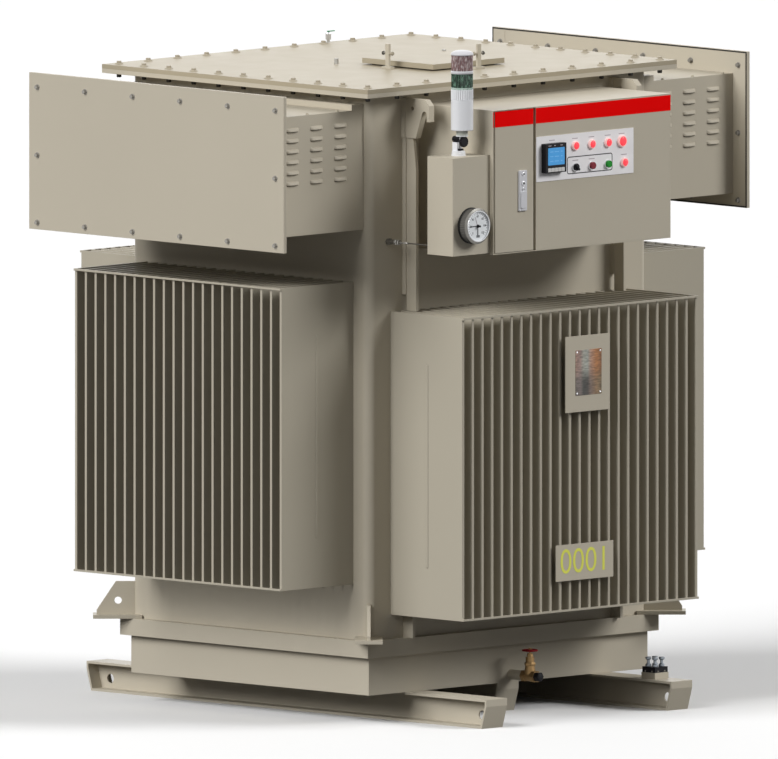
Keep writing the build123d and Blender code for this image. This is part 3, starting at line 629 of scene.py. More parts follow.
def rounded_outline(width: float, height: float, radius: float, steps: int = 5) -> Array:
    """A rectangle with quarter-circle corners, as points round the centre.

    Args:
        width: full width.
        height: full height.
        radius: corner radius.
        steps: points on each corner.

    Returns:
        Points of right and up.
    """
    angle = np.linspace(0, TURN / 4, steps)
    quarter = np.arange(4)[:, None] * TURN / 4 + angle[None]
    centre_x = np.array([1, -1, -1, 1])[:, None] * (width / 2 - radius)
    centre_y = np.array([1, 1, -1, -1])[:, None] * (height / 2 - radius)
    across = centre_x + radius * np.cos(quarter)
    upward = centre_y + radius * np.sin(quarter)
    return np.stack([across.ravel(), upward.ravel()], axis=-1)


def raised(outline: Array, lift: float) -> Array:
    """Give a flat outline a height along local out."""
    return np.concatenate([outline, np.full((len(outline), 1), lift)], axis=-1)


def slab(width: float, height: float, depth: float, radius: float = 1 * MM, bevel: float = 0.6 * MM,
         centre: tuple[float, float] = (0.0, 0.0), lift: float = 0.0) -> Shell:
    """A flat plate with rounded corners and a bevelled front edge.

    Args:
        width: full width.
        height: full height.
        depth: thickness along local out.
        radius: corner radius.
        bevel: how far the front edge is broken.
        centre: the plate's middle, right and up.
        lift: where its back is, along local out.

    Returns:
        A closed shell.
    """
    radius = max(radius, bevel * 1.1)
    outer = rounded_outline(width, height, radius)
    inner = rounded_outline(width - 2 * bevel, height - 2 * bevel, radius - bevel)
    rows = np.stack([raised(outer, 0), raised(outer, depth - bevel), raised(inner, depth)])
    return Shell().grid(rows + np.array([*centre, lift]))


def frame_band(width: float, height: float, line: float, depth: float, radius: float,
               centre: tuple[float, float] = (0.0, 0.0), lift: float = 0.0) -> Shell:
    """A closed rectangular frame of a given line width, rounded at its corners.

    Args:
        width: outer width.
        height: outer height.
        line: width of the frame's line.
        depth: thickness along local out.
        radius: outer corner radius.
        centre: the frame's middle, right and up.
        lift: where its back is, along local out.

    Returns:
        A closed shell.
    """
    outer = rounded_outline(width, height, radius)
    inner = rounded_outline(width - 2 * line, height - 2 * line, max(radius - line, 0.1 * MM))
    rows = np.stack([
        raised(outer, 0), raised(outer, depth), raised(inner, depth), raised(inner, 0), raised(outer, 0),
    ])
    return Shell().grid(rows + np.array([*centre, lift]), capped=False)


def swept_tube(path: Array, radius: float, segments: int = 16) -> Shell:
    """A round tube along a flat path: at each point a circle square to the path.

    Args:
        path: points of the tube's centre line.
        radius: the tube's radius.
        segments: points round the tube.

    Returns:
        A closed shell.
    """
    along = np.gradient(path, axis=0)
    along /= np.linalg.norm(along, axis=1, keepdims=True)
    guide = np.array([0.0, 0.0, 1.0]) if abs(along[:, 2]).max() < 0.9 else np.array([0.0, 1.0, 0.0])
    side = np.cross(along, guide)
    side /= np.linalg.norm(side, axis=1, keepdims=True)
    over = np.cross(side, along)
    angle = np.arange(segments) * TURN / segments
    circles = side[:, None] * np.cos(angle)[None, :, None] + over[:, None] * np.sin(angle)[None, :, None]
    return Shell().grid(path[:, None] + radius * circles)


def hex_head(across: float, height: float) -> Shell:
    """A chamfered hexagon head, standing on local zero."""
    corner = across / math.sqrt(3)
    return turned([(corner, 0), (corner, height * 0.8), (corner * 0.86, height)], 6)


def bolt_with_washer(across: float, height: float, washer: float, washer_height: float) -> Shell:
    """A hexagon head on a plain washer.

    Args:
        across: the head's width across flats.
        height: the head's height.
        washer: the washer's diameter.
        washer_height: its thickness.

    Returns:
        A shell that stands on local zero.
    """
    radius = washer / 2
    shell = turned([(radius, 0), (radius, washer_height * 0.7), (radius * 0.94, washer_height)], 20)
    return shell.join(hex_head(across, height).moved((0, 0, washer_height)))


def dome_screw(size: float, height: float) -> Shell:
    """A low domed screw head: its radius falls as the cosine while its height rises as the sine."""
    angle = np.linspace(0, TURN / 4 * 0.96, 6)
    return turned([(size / 2 * math.cos(a), height * math.sin(a)) for a in angle], 16)


def seat(node: str) -> tuple[float, float, float]:
    """The middle of a node's back face, where a front fitting stands on what carries it."""
    low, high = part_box(node)
    return ((low.x + high.x) / 2, high.y, (low.z + high.z) / 2)


def build_piece(name: str, shell: Shell, finish: Finish, body: str = "machine", replaces: Nodes = (),
                smooth: float = 32.0) -> None:
    """Turn a shell into a finished object that rides on a body.

    Args:
        name: the object's name.
        shell: its points and faces, in the frame.
        finish: what it is made of.
        body: the body it moves with.
        replaces: CAD nodes that it stands for.
        smooth: edges sharper than this many degrees stay sharp.
    """
    mesh = bpy.data.meshes.new(name)
    quads = np.concatenate(shell.quads).tolist() if shell.quads else []
    faces = quads + [cap.tolist() for cap in shell.caps]
    mesh.from_pydata(np.concatenate(shell.points).tolist(), [], faces)
    work = bmesh.new()
    work.from_mesh(mesh)
    bmesh.ops.remove_doubles(work, verts=work.verts, dist=0.01 * MM)
    bmesh.ops.recalc_face_normals(work, faces=work.faces)
    work.to_mesh(mesh)
    work.free()
    mesh.polygons.foreach_set("use_smooth", np.ones(len(mesh.polygons), bool))
    mesh.set_sharp_from_angle(angle=math.radians(smooth))
    mesh.materials.append(finish.material())
    piece = bpy.data.objects.new(name, mesh)
    bpy.context.scene.collection.objects.link(piece)
    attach(piece, body)
    if replaces:
        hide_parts(*replaces)
    LOG.info("made %s with %d faces", name, len(mesh.polygons))


def dress(nodes: Nodes, finish: Finish) -> None:
    """Give CAD nodes a finish.

    Args:
        nodes: their names.
        finish: what they are made of.
    """
    for name in nodes:
        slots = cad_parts[name].data.materials
        slots.clear()
        slots.append(finish.material())
        LOG.info("dressed %s in %s", name, finish.name)


def lettering(text: str, height: float, facing: Facing, origin: Sequence[float],
              depth: float = 0.3 * MM, thin: float = 0.0) -> Shell:
    """Plain figures as a flat raised mesh.

    Args:
        text: the figures.
        height: height of a capital.
        facing: which way they face.
        origin: their middle.
        depth: how far they stand out.
        thin: how much each stroke is drawn in.

    Returns:
        A shell of the figures' faces.
    """
    curve = bpy.data.curves.new("figures", "FONT")
    curve.body = text
    curve.size = height / 0.69
    curve.align_x = "CENTER"
    curve.align_y = "CENTER"
    curve.extrude = depth / 2
    curve.offset = -thin
    carrier = bpy.data.objects.new("figures", curve)
    mesh = bpy.data.meshes.new_from_object(carrier)
    points = np.empty(len(mesh.vertices) * 3)
    mesh.vertices.foreach_get("co", points)
    local = points.reshape(-1, 3) + np.array([0, 0, depth / 2])
    faces = [np.array(polygon.vertices) for polygon in mesh.polygons]
    bpy.data.objects.remove(carrier)
    bpy.data.curves.remove(curve)
    bpy.data.meshes.remove(mesh)
    return Shell([facing.place(local, origin)], [], faces, len(local))


@dataclass
class Tank:
    """Skids, tank, lid and lifting gear, in enamel, with the lid's bolts. Profiles are in millimetres."""

    bolts_along: int = 11
    bolt_inset: float = 41 * MM
    bolt_head: float = 15 * MM
    bolt_height: float = 7 * MM
    washer: float = 31 * MM
    washer_height: float = 4 * MM
    nut_height: float = 12 * MM
    nut_washer_height: float = 3 * MM
    hatch_gap: float = 5 * MM
    filler_x: float = 323 * MM
    filler_hexagon: float = 10 * MM
    ball_radius: float = 9 * MM
    ball_drop: float = 2 * MM
    lever_length: float = 34 * MM
    lever_rise: float = 6.4 * MM
    pin_level: float = 53 * MM
    pin_reach: float = 12 * MM
    pin_radius: float = 3.9 * MM
    post_half: float = 8.5 * MM
    pin_washer: Profile = ((7, 0), (7, 1.2), (4.05, 1.2), (4.05, 0), (7, 0))
    pin_nut: Profile = ((6, 1.2), (6, 5), (4.05, 5), (4.05, 1.2), (6, 1.2))
    nodes: tuple[str, ...] = (
        "left_skid", "right_skid", "middle_skid", "tank_floor", "base_long_walls", "base_short_walls",
        "band_long_bars", "band_short_bars", "tank_front_wall", "tank_back_wall", "tank_left_wall",
        "tank_right_wall", "flange_long_bars", "flange_short_bars", "hatch_clamps",
        "lifting_hooks", "jacking_lugs", "ledge_tubes", "stud_support", "drain_pipe",
    )

    def rim_places(self) -> Array:
        """Give the bolts' places round the lid's rim, in rows along all four sides.

        Returns:
            Pairs of X and Y.
        """
        low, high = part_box("lid")
        across = np.linspace(low.x + self.bolt_inset, high.x - self.bolt_inset, self.bolts_along)
        deep = np.linspace(low.y + self.bolt_inset, high.y - self.bolt_inset, self.bolts_along)
        grid = np.stack(np.meshgrid(across, deep, indexing="ij"), axis=-1)
        edge = np.ones(grid.shape[:2], bool)
        edge[1:-1, 1:-1] = False
        return grid[edge]

    def lid_top(self) -> float:
        """The height of the lid's upper face, a small gap under the hatch cover."""
        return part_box("hatch_cover")[0].z - self.hatch_gap

    def build(self) -> None:
        """Dress the steelwork and add the lid's bolts and nuts, the filler valve and the clamps' pins."""
        dress(self.nodes, PEBBLE_ENAMEL)
        # The lid and hatch in the darker enamel copy, as painted shade.
        dress(("lid", "hatch_cover"), LID_ENAMEL_PAINTED_SHADE)
        dress(("lid_fittings",), ZINC_PLATE)
        self.add_lid_bolts()
        self.add_filler()
        self.add_clamp_pins()

    def add_lid_bolts(self) -> None:
        """Bolts on cupped washers round the lid, and their nuts under the flange, black as painted shade."""
        places = self.rim_places()
        above = raised(places, self.lid_top())
        below = raised(places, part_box("flange_long_bars")[0].z)
        radius, rise = self.washer / 2, self.washer_height
        cup = turned([(radius, 0), (radius * 0.97, rise * 0.35), (radius * 0.7, rise),
                      (radius * 0.5, rise * 1.1)], 20)
        build_piece("lid_washers", cup.copies(above), FITTING_ENAMEL_PAINTED_SHADE, smooth=60)
        head = hex_head(self.bolt_head, self.bolt_height).moved((0, 0, rise))
        build_piece("lid_bolts", head.copies(above), FITTING_ENAMEL_PAINTED_SHADE)
        nut = bolt_with_washer(self.bolt_head, self.nut_height, self.washer * 0.8, self.nut_washer_height)
        # Black nuts under the flange: painted shade.
        build_piece("lid_nuts", nut.placed(Facing.DOWN).copies(below), BLACK_STEEL_PAINTED_SHADE)

    def add_filler(self) -> None:
        """The filler valve's bright ball and its green lever, which lies along the lid's edge."""
        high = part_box("lid_fittings")[1]
        centre = np.array([self.filler_x, high.y - self.filler_hexagon * math.cos(TURN / 12), high.z])
        angle = np.linspace(-0.24 * TURN, 0.24 * TURN, 10)
        ball = turned([(self.ball_radius * math.cos(a), self.ball_radius * math.sin(a)) for a in angle], 24)
        build_piece("filler_ball", ball.moved(centre - (0, 0, self.ball_drop)), SATIN_CHROME)
        lever = slab(self.lever_length, 9 * MM, 3 * MM, 3 * MM, centre=(self.lever_length / 2 - 4 * MM, 0))
        build_piece("filler_lever", lever.moved(centre + (0, 0, self.lever_rise)), HANDLE_GREEN)

    def add_clamp_pins(self) -> None:
        """The hatch clamps' cross pins, with a painted head at one end and a dark nut at the other."""
        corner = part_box("hatch_clamps")[0]
        hatch_low, hatch_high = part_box("hatch_cover")
        middle = (hatch_low + hatch_high) / 2
        level = self.lid_top() + self.pin_level
        side_post = np.array([corner.x + self.post_half, middle.y, level])
        front_post = np.array([middle.x, corner.y + self.post_half, level])
        heads, nuts = Shell(), Shell()
        for way, post, shell in ((Facing.FRONT, side_post, heads), (Facing.BACK, side_post, nuts),
                                 (Facing.LEFT, front_post, heads), (Facing.RIGHT, front_post, nuts)):
            end = self.pin_reach + 6.5 * MM
            pin = turned([(self.pin_radius, 0), (self.pin_radius, end), (3.2 * MM, end + 1 * MM)], 16)
            shell.join(pin.placed(way, post + way.out() * 8 * MM))
            nut = turned(in_mm(self.pin_washer), 20, capped=False)
            nut.join(turned(in_mm(self.pin_nut), 6, capped=False))
            shell.join(nut.placed(way, post + way.out() * (self.post_half + self.pin_reach)))
        build_piece("clamp_pins", heads, FITTING_ENAMEL_PAINTED_SHADE)
        build_piece("clamp_nuts", nuts, DARK_ZINC)


@dataclass
class TerminalBoxes:
    """The two end boxes with their bolted covers and pressed louvers."""

    bolt_head: float = 13 * MM
    bolt_height: float = 8 * MM
    washer: float = 20 * MM
    washer_height: float = 2 * MM
    bolts_along: int = 6
    inset: float = 40 * MM
    levels: tuple[float, float, float] = (24 * MM, 254 * MM, 486 * MM)
    lip_back: float = 7 * MM
    rim_back: float = 13 * MM
    nut_back: float = 14 * MM
    strip_width: float = 54 * MM
    strip_edge: float = 7 * MM
    seal_width: float = 4 * MM
    seal_inset: float = 1.2 * MM
    hood_length: float = 61 * MM
    hood_height: float = 13 * MM
    hood_reach: float = 8 * MM
    hood_columns: tuple[float, ...] = (111 * MM, 226 * MM, 341 * MM)
    hood_rows: int = 6
    hood_first: float = 221 * MM
    hood_pitch: float = 36.6 * MM
    wall_inset: float = 62 * MM
    screw_inset: float = 76 * MM
    top_screws: tuple[float, ...] = (113 * MM, 256 * MM, 400 * MM)

    def build(self) -> None:
        """Dress both boxes, add cover bolts with their nuts, seams, gaskets and the louvers."""
        dress(("left_terminal_box", "right_terminal_box", "left_terminal_cover", "right_terminal_cover"),
              PEBBLE_ENAMEL)
        left, right = Facing.LEFT, Facing.RIGHT
        for side, facing, behind in (("left", left, right), ("right", right, left)):
            self.add_cover_bolts(side, facing, behind)
            self.add_cover_edges(side, behind)
            self.add_louvers(side)
            self.add_top_screws(side)

    def cover_face(self, side: str) -> tuple[float, int]:
        """Where a cover's outer face is in X, and which way along X it looks."""
        low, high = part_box(f"{side}_terminal_cover")
        return (low.x, -1) if side == "left" else (high.x, 1)

    def tank_face(self, side: str) -> tuple[float, int]:
        """Where the tank's end wall is in X, and which way along X the box goes from it."""
        low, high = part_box(f"tank_{side}_wall")
        return (low.x, -1) if side == "left" else (high.x, 1)

    def add_cover_bolts(self, side: str, facing: Facing, behind: Facing) -> None:
        """Bolts along the cover's top and foot and halfway up its ends, with nuts behind its rim.

        Args:
            side: left or right.
            facing: which way the cover looks.
            behind: the other way.
        """
        low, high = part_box(f"{side}_terminal_cover")
        outer, way = self.cover_face(side)
        deep = np.linspace(low.y + self.inset, high.y - self.inset, self.bolts_along)
        foot, half, top = (low.z + level for level in self.levels)
        rows = [(y, level) for level in (foot, top) for y in deep]
        rows += [(y, half) for y in (deep[0], deep[-1])]
        for name, x, turn in (("bolts", outer, facing), ("nuts", outer - way * self.nut_back, behind)):
            head = bolt_with_washer(self.bolt_head, self.bolt_height, self.washer, self.washer_height)
            places = np.array([(x, y, level) for y, level in rows])
            build_piece(f"{side}_cover_{name}", head.placed(turn).copies(places), BOLT_ZINC)

    def add_cover_edges(self, side: str, behind: Facing) -> None:
        """The cover's folded lip, the rubber seal and the painted strips on the box's rim.

        Args:
            side: left or right.
            behind: the way from the cover to the tank.
        """
        low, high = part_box(f"{side}_terminal_cover")
        middle = (low + high) / 2
        wide, tall = high.y - low.y, high.z - low.z
        outer, way = self.cover_face(side)
        back, rim = outer - way * self.lip_back, outer - way * self.rim_back
        lip = frame_band(wide + 0.6 * MM, tall + 0.6 * MM, 1.5 * MM, 6 * MM, 1.5 * MM)
        build_piece(f"{side}_cover_lip", lip.placed(behind, (back, middle.y, middle.z)), PEBBLE_ENAMEL)
        seal = frame_band(wide - 2 * self.seal_inset, tall - 2 * self.seal_inset, self.seal_width,
                          1.4 * MM, 1 * MM)
        build_piece(f"{side}_gasket", seal.placed(behind, (rim, middle.y, middle.z)), BLACK_RUBBER_AND_SHADE)
        strips = Shell()
        reach = wide / 2 - self.strip_edge - self.strip_width / 2
        for y in (middle.y - reach, middle.y + reach):
            strip = slab(self.strip_width, tall - 2 * self.strip_edge, 1 * MM, 1 * MM, 0.4 * MM)
            strips.join(strip.placed(behind, (rim, y, middle.z)))
        build_piece(f"{side}_rim_strips", strips, PEBBLE_ENAMEL)

    def hood(self) -> Shell:
        """A pressed louver: a half-round bulge, square-cut along its lower edge, where its opening is left
        to a black strip of painted shade.

        Its height over the sheet is the reach times the sine across the slot and the fourth-power
        fall towards both ends.

        Returns:
            A closed shell.
        """
        along = np.linspace(-1, 1, 17)
        across = np.linspace(0, 1, 7)
        end_fall = 1 - np.abs(along) ** 4
        rise = np.sin(across * TURN / 4) ** 0.8
        rows = np.empty((len(across), len(along), 3))
        rows[..., 0] = along[None] * self.hood_length / 2
        rows[..., 1] = (1 - across[:, None]) * self.hood_height - self.hood_height * 0.4
        rows[..., 2] = rise[:, None] * end_fall[None] * self.hood_reach
        back = rows.copy()
        back[..., 2] = -0.5 * MM
        return Shell().grid(np.concatenate([rows, back[:, ::-1]], axis=1))

    def add_louvers(self, side: str) -> None:
        """Add the louvers on the front and the back of one box, each over a thin black strip of painted
        shade for the shade in its opening.

        Args:
            side: left or right.
        """
        low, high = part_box(f"{side}_terminal_box")
        start, way = self.tank_face(side)
        slit_shade_level = -self.hood_height * 0.4 - 0.6 * MM
        for facing, y in ((Facing.FRONT, low.y + self.wall_inset), (Facing.BACK, high.y - self.wall_inset)):
            slit_shade = slab(self.hood_length * 0.9, 3.2 * MM, 0.3 * MM, 1 * MM, 0.1 * MM, (0, slit_shade_level))
            places = np.array([
                (start + way * column, y, low.z + self.hood_first + row * self.hood_pitch)
                for column in self.hood_columns for row in range(self.hood_rows)
            ])
            name = f"{side}_{facing.name.lower()}_louvers"
            build_piece(name, self.hood().placed(facing).copies(places), PEBBLE_ENAMEL, smooth=50)
            # The black strips under the hoods are painted shade for the louvers' openings.
            build_piece(f"{name}_slit_shade_strips", slit_shade.placed(facing).copies(places), BLACK_RUBBER_AND_SHADE)

    def add_top_screws(self, side: str) -> None:
        """Domed screws along the front and back edges of the box's top.

        Args:
            side: left or right.
        """
        low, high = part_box(f"{side}_terminal_box")
        start, way = self.tank_face(side)
        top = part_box("ledge_tubes")[0].z
        places = np.array([(start + way * reach, y, top) for reach in self.top_screws
                           for y in (low.y + self.screw_inset, high.y - self.screw_inset)])
        build_piece(f"{side}_top_screws", dome_screw(12 * MM, 5 * MM).copies(places), FITTING_ENAMEL_PAINTED_SHADE, smooth=60)


@dataclass
class Radiators:
    """The four fin banks, with the pressed bead on each outer fin's face."""

    bead_length: float = 697 * MM
    bead_width: float = 12 * MM
    bead_height: float = 2 * MM
    bead_draw: float = 0.8

    def build(self) -> None:
        """Dress the fins and add the beads."""
        along_x = ("front_radiator", "back_radiator")
        names = along_x + ("left_radiator", "right_radiator")
        # Fins and beads in the darker enamel copy, as painted shade.
        dress(names, FIN_ENAMEL_PAINTED_SHADE)
        for name in names:
            low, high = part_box(name)
            middle = (low + high) / 2
            if name in along_x:
                ends = ((Facing.LEFT, (low.x, middle.y, middle.z)),
                        (Facing.RIGHT, (high.x, middle.y, middle.z)))
            else:
                ends = ((Facing.FRONT, (middle.x, low.y, middle.z)),
                        (Facing.BACK, (middle.x, high.y, middle.z)))
            shell = Shell()
            for facing, place in ends:
                shell.join(self.bead().placed(facing, place))
            build_piece(f"{name}_beads", shell, FIN_ENAMEL_PAINTED_SHADE, smooth=60)

    def bead(self) -> Shell:
        """A long low bead with round ends, drawn in as it rises with the sine of the way up.

        Returns:
            A closed shell.
        """
        rows = []
        for share in np.linspace(0, 1, 5):
            drawn = self.bead_width * self.bead_draw * share
            width = self.bead_width - drawn
            outline = rounded_outline(width, self.bead_length - drawn, width / 2 * 0.98)
            rows.append(raised(outline, self.bead_height * math.sin(share * TURN / 4)))
        return Shell().grid(np.stack(rows))


@dataclass
class ControlCabinet:
    """The cabinet's shell, door, stripe, lock and fixed panel."""

    stripe_top: float = 488 * MM
    stripe_height: float = 53 * MM
    stripe_thick: float = 0.5 * MM
    leaf_round: float = 8 * MM
    hinge_round: float = 5 * MM
    wall: float = 3 * MM
    lock_plate: float = 6 * MM
    lock_fittings: tuple[tuple[float, float], ...] = ((0.41, 6 * MM), (0.18, 7.5 * MM), (0.04, 4.5 * MM))

    def build(self) -> None:
        """Dress the sheet metal and add the stripe and the lock."""
        dress(("cabinet_body", "cabinet_door", "front_panel"), PEBBLE_ENAMEL)
        low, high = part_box("cabinet_body")
        self.add_stripe("panel_stripe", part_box("front_panel")[0].x, high.x)
        self.add_stripe("wall_stripe", low.x, low.x + self.wall)
        self.add_leaf_stripe()
        self.add_lock()

    def stripe_level(self) -> float:
        """The height of the stripe's middle."""
        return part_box("cabinet_body")[0].z + self.stripe_top - self.stripe_height / 2

    def add_stripe(self, name: str, left: float, right: float) -> None:
        """A flat stretch of the red stripe on the cabinet's front.

        Args:
            name: the piece's name.
            left: where it begins in X.
            right: where it ends.
        """
        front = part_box("cabinet_body")[0].y
        stripe = slab(right - left, self.stripe_height, self.stripe_thick, 0.2 * MM, 0.1 * MM)
        middle = ((left + right) / 2, front, self.stripe_level())
        build_piece(name, stripe.placed(Facing.FRONT, middle), RED_ENAMEL)

    def add_leaf_stripe(self) -> None:
        """The stripe on the door leaf, lapping a little way round its two rounded edges.

        In plan its centre line is a quarter circle of the hinge edge, a straight and a quarter
        circle of the free edge.
        """
        low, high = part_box("cabinet_door")
        hinge = np.linspace(0.55, 1, 6) * TURN / 4
        free = np.linspace(1, 0.1, 8) * TURN / 4
        hinge_centre = np.array([low.x + self.hinge_round, low.y + self.hinge_round])
        free_centre = np.array([high.x - self.leaf_round, low.y + self.leaf_round])
        sides = []
        for reach in (0.0, self.stripe_thick):
            near = np.stack([-np.cos(hinge), -np.sin(hinge)], axis=-1) * (self.hinge_round + reach)
            far = np.stack([np.cos(free), -np.sin(free)], axis=-1) * (self.leaf_round + reach)
            sides.append(np.concatenate([hinge_centre + near, free_centre + far]))
        plan = np.concatenate([sides[0], sides[1][::-1]])
        level, half = self.stripe_level(), self.stripe_height / 2
        rows = np.stack([raised(plan, level - half), raised(plan, level + half)])
        build_piece("leaf_stripe", Shell().grid(rows), RED_ENAMEL, "door")

    def add_lock(self) -> None:
        """A silver plate with a lever lying in it, a release button, a keyhole and two screws."""
        low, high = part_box("door_lock")
        middle = seat("door_lock")
        width, height = high.x - low.x, high.z - low.z
        plate = slab(width, height, self.lock_plate, 4 * MM, 1.2 * MM)
        plate.join(slab(width * 0.7, height * 0.42, 3 * MM, 4 * MM, 1 * MM, (0, -height * 0.22),
                        self.lock_plate))
        plate.join(slab(width * 0.5, 5 * MM, 1.5 * MM, 2 * MM, 0.5 * MM, (0, -height * 0.46),
                        self.lock_plate))
        build_piece("lock_plate", plate.placed(Facing.FRONT, middle), LOCK_CHROME, "door", ("door_lock",))
        rings, holes = Shell(), Shell()
        for up, radius in self.lock_fittings:
            place = (middle[0], middle[1] - self.lock_plate, middle[2] + height * up)
            collar = turned([(radius, 0), (radius, 2.2 * MM), (radius * 0.8, 2.8 * MM),
                             (radius * 0.62, 2.8 * MM), (radius * 0.62, 0), (radius, 0)], 24, capped=False)
            rings.join(collar.placed(Facing.FRONT, place))
            hole = turned([(radius * 0.6, 0), (radius * 0.6, 0.8 * MM), (0, 0.9 * MM)], 20)
            holes.join(hole.placed(Facing.FRONT, place))
        build_piece("lock_rings", rings, SATIN_CHROME, "door")
        # The black discs fill the rings' holes: painted shade for their dark insides.
        build_piece("lock_holes", holes, BLACK_STEEL_PAINTED_SHADE, "door")


@dataclass
class InstrumentPanel:
    """The white plate with its meter, lamps, buttons and selector.

    Places are in millimetres, right and up from the plate's lower left corner.
    """

    meter_size: float = 100 * MM
    meter_depth: float = 21 * MM
    key_pitch: float = 0.16
    display_columns: tuple[tuple[float, float], ...] = ((-22, 16), (2, 22), (25, 9))
    display_levels: tuple[float, ...] = (22, 6, -10)
    top_marks: tuple[tuple[float, float], ...] = ((-30, 14), (-6, 8), (26, 12))
    lamp_size: float = 25.5 * MM
    lamp_large: float = 33 * MM
    lamp_rise: float = 12 * MM
    small_lamps: tuple[tuple[float, float], ...] = ((185, 112), (264, 112), (342, 112), (420, 39))
    large_lamp: tuple[float, float] = (409, 112)
    button_size: float = 24.5 * MM
    button_level: float = 39
    selector: float = 187
    stop: float = 265
    start: float = 342
    selector_turn: float = 40.0
    button_box: tuple[float, float, float, float] = (147, 16, 218, 60)
    captions: tuple[tuple[float, float], ...] = (
        (74, 138), (185, 137), (264, 137), (342, 137), (409, 138), (420, 66), (187, 62), (265, 62),
    )

    def build(self) -> None:
        """Dress the plate and add everything on it."""
        dress(("instrument_plate",), WHITE_ENAMEL)
        self.add_meter()
        self.add_lamps()
        self.add_buttons()
        self.add_marks()

    def at(self, right: float, up: float) -> tuple[float, float, float]:
        """A place on the plate's face, from its lower left corner."""
        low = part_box("instrument_plate")[0]
        return (low.x + right * MM, low.y, low.z + up * MM)

    def add_meter(self) -> None:
        """A square meter: black case, sunk blue display and a strip of keys."""
        middle = seat("panel_meter")
        size = self.meter_size
        case = slab(size, size, self.meter_depth, 2.5 * MM, 1 * MM)
        build_piece("meter_case", case.placed(Facing.FRONT, middle), BLACK_MOULDING,
                    replaces=("panel_meter",))
        front = (middle[0], middle[1] - self.meter_depth, middle[2])
        screen = slab(size * 0.79, size * 0.59, 0.8 * MM, 2 * MM, 0.3 * MM, (0.5 * MM, 6 * MM))
        build_piece("meter_display", screen.placed(Facing.FRONT, front), SCREEN_BLUE)
        keys, marks, top = Shell(), Shell(), Shell()
        for column in range(-2, 3):
            place = (column * size * self.key_pitch + 0.5 * MM, -40 * MM)
            keys.join(slab(size * 0.15, size * 0.13, 1.5 * MM, 1.5 * MM, 0.5 * MM, place))
        build_piece("meter_keys", keys.placed(Facing.FRONT, front), GREY_MOULDING)
        for level in self.display_levels:
            for column, length in self.display_columns:
                place = (column * MM, level * MM)
                marks.join(slab(length * MM, 3 * MM, 0.3 * MM, 0.6 * MM, 0.1 * MM, place, 0.8 * MM))
        build_piece("meter_figures", marks.placed(Facing.FRONT, front), SCREEN_MARKS)
        for column, length in self.top_marks:
            top.join(slab(length * MM, 2.6 * MM, 0.2 * MM, 0.4 * MM, 0.1 * MM, (column * MM, 43 * MM)))
        build_piece("meter_top_marks", top.placed(Facing.FRONT, front), INK_GREY)

    def lamp(self, size: float) -> tuple[Shell, Shell]:
        """A lamp's collar, whose faint pink glow is a painted halo of the lit lamp, and its lens, a dome
        that rises with the sine of the way in.

        Args:
            size: the lens's width.

        Returns:
            The collar and the lens.
        """
        radius = size / 2
        collar = turned([(radius * 1.22, 0), (radius * 1.2, 7 * MM), (radius * 1.1, 8.4 * MM),
                         (radius, 8.4 * MM), (radius, 1 * MM)])
        profile = [(radius * 0.98, 0.5 * MM)]
        for angle in np.linspace(0, TURN / 4, 8)[:-1]:
            rise = self.lamp_rise * (0.55 + 0.45 * math.sin(angle))
            profile.append((radius * 0.98 * math.cos(angle) ** 0.6, rise))
        profile.append((radius * 0.1, self.lamp_rise))
        return collar, turned(profile)

    def add_lamps(self) -> None:
        """Four small lamps and a large one, lit, each in a collar with a painted halo."""
        collars, lenses = Shell(), Shell()
        small = [(*place, self.lamp_size) for place in self.small_lamps]
        for right, up, size in (*small[:3], (*self.large_lamp, self.lamp_large), small[3]):
            collar, lens = self.lamp(size)
            collars.join(collar.placed(Facing.FRONT, self.at(right, up)))
            lenses.join(lens.placed(Facing.FRONT, self.at(right, up)))
        build_piece("lamp_collars_painted_halo", collars, COLLAR_ACRYLIC_PAINTED_HALO)
        build_piece("lamp_lenses", lenses, LAMP_ACRYLIC, replaces=("signal_lamps",))

    def add_buttons(self) -> None:
        """A black selector with its grip, and two push buttons, each in a ring."""
        rings = Shell()
        radius = self.button_size / 2
        for right in (self.selector, self.stop, self.start):
            rim = turned([(radius * 1.18, 0), (radius * 1.18, 1.5 * MM), (radius * 1.1, 2.5 * MM),
                          (radius, 2.5 * MM), (radius, 1 * MM)])
            rings.join(rim.placed(Facing.FRONT, self.at(right, self.button_level)))
        build_piece("button_rings", rings, SATIN_CHROME)
        for name, right, finish, replaced in (("stop_button", self.stop, BUTTON_MAROON, ("push_buttons",)),
                                              ("start_button", self.start, BUTTON_GREEN, ())):
            cap = turned([(radius, 0), (radius, 10 * MM), (radius * 0.92, 11.5 * MM), (0, 12 * MM)])
            place = self.at(right, self.button_level)
            build_piece(name, cap.placed(Facing.FRONT, place), finish, replaces=replaced)
        knob = turned([(radius, 0), (radius, 8 * MM), (radius * 0.9, 9 * MM), (0, 9 * MM)])
        grip = slab(8 * MM, 27 * MM, 7 * MM, 3 * MM, 1.5 * MM, lift=8 * MM)
        knob.join(grip.spun(math.radians(self.selector_turn)))
        place = self.at(self.selector, self.button_level)
        build_piece("selector_knob", knob.placed(Facing.FRONT, place), BLACK_MOULDING)

    def add_marks(self) -> None:
        """The printed frame round the buttons and a short plain bar over each device."""
        left, bottom, width, height = self.button_box
        border = frame_band(width * MM, height * MM, 3.2 * MM, 0.2 * MM, 9 * MM)
        middle = self.at(left + width / 2, bottom + height / 2)
        build_piece("button_frame", border.placed(Facing.FRONT, middle), INK_BLACK)
        bars = Shell()
        for right, up in self.captions:
            bar = slab(28 * MM, 2.6 * MM, 0.2 * MM, 0.4 * MM, 0.1 * MM)
            bars.join(bar.placed(Facing.FRONT, self.at(right, up)))
        build_piece("device_bars", bars, INK_GREY)


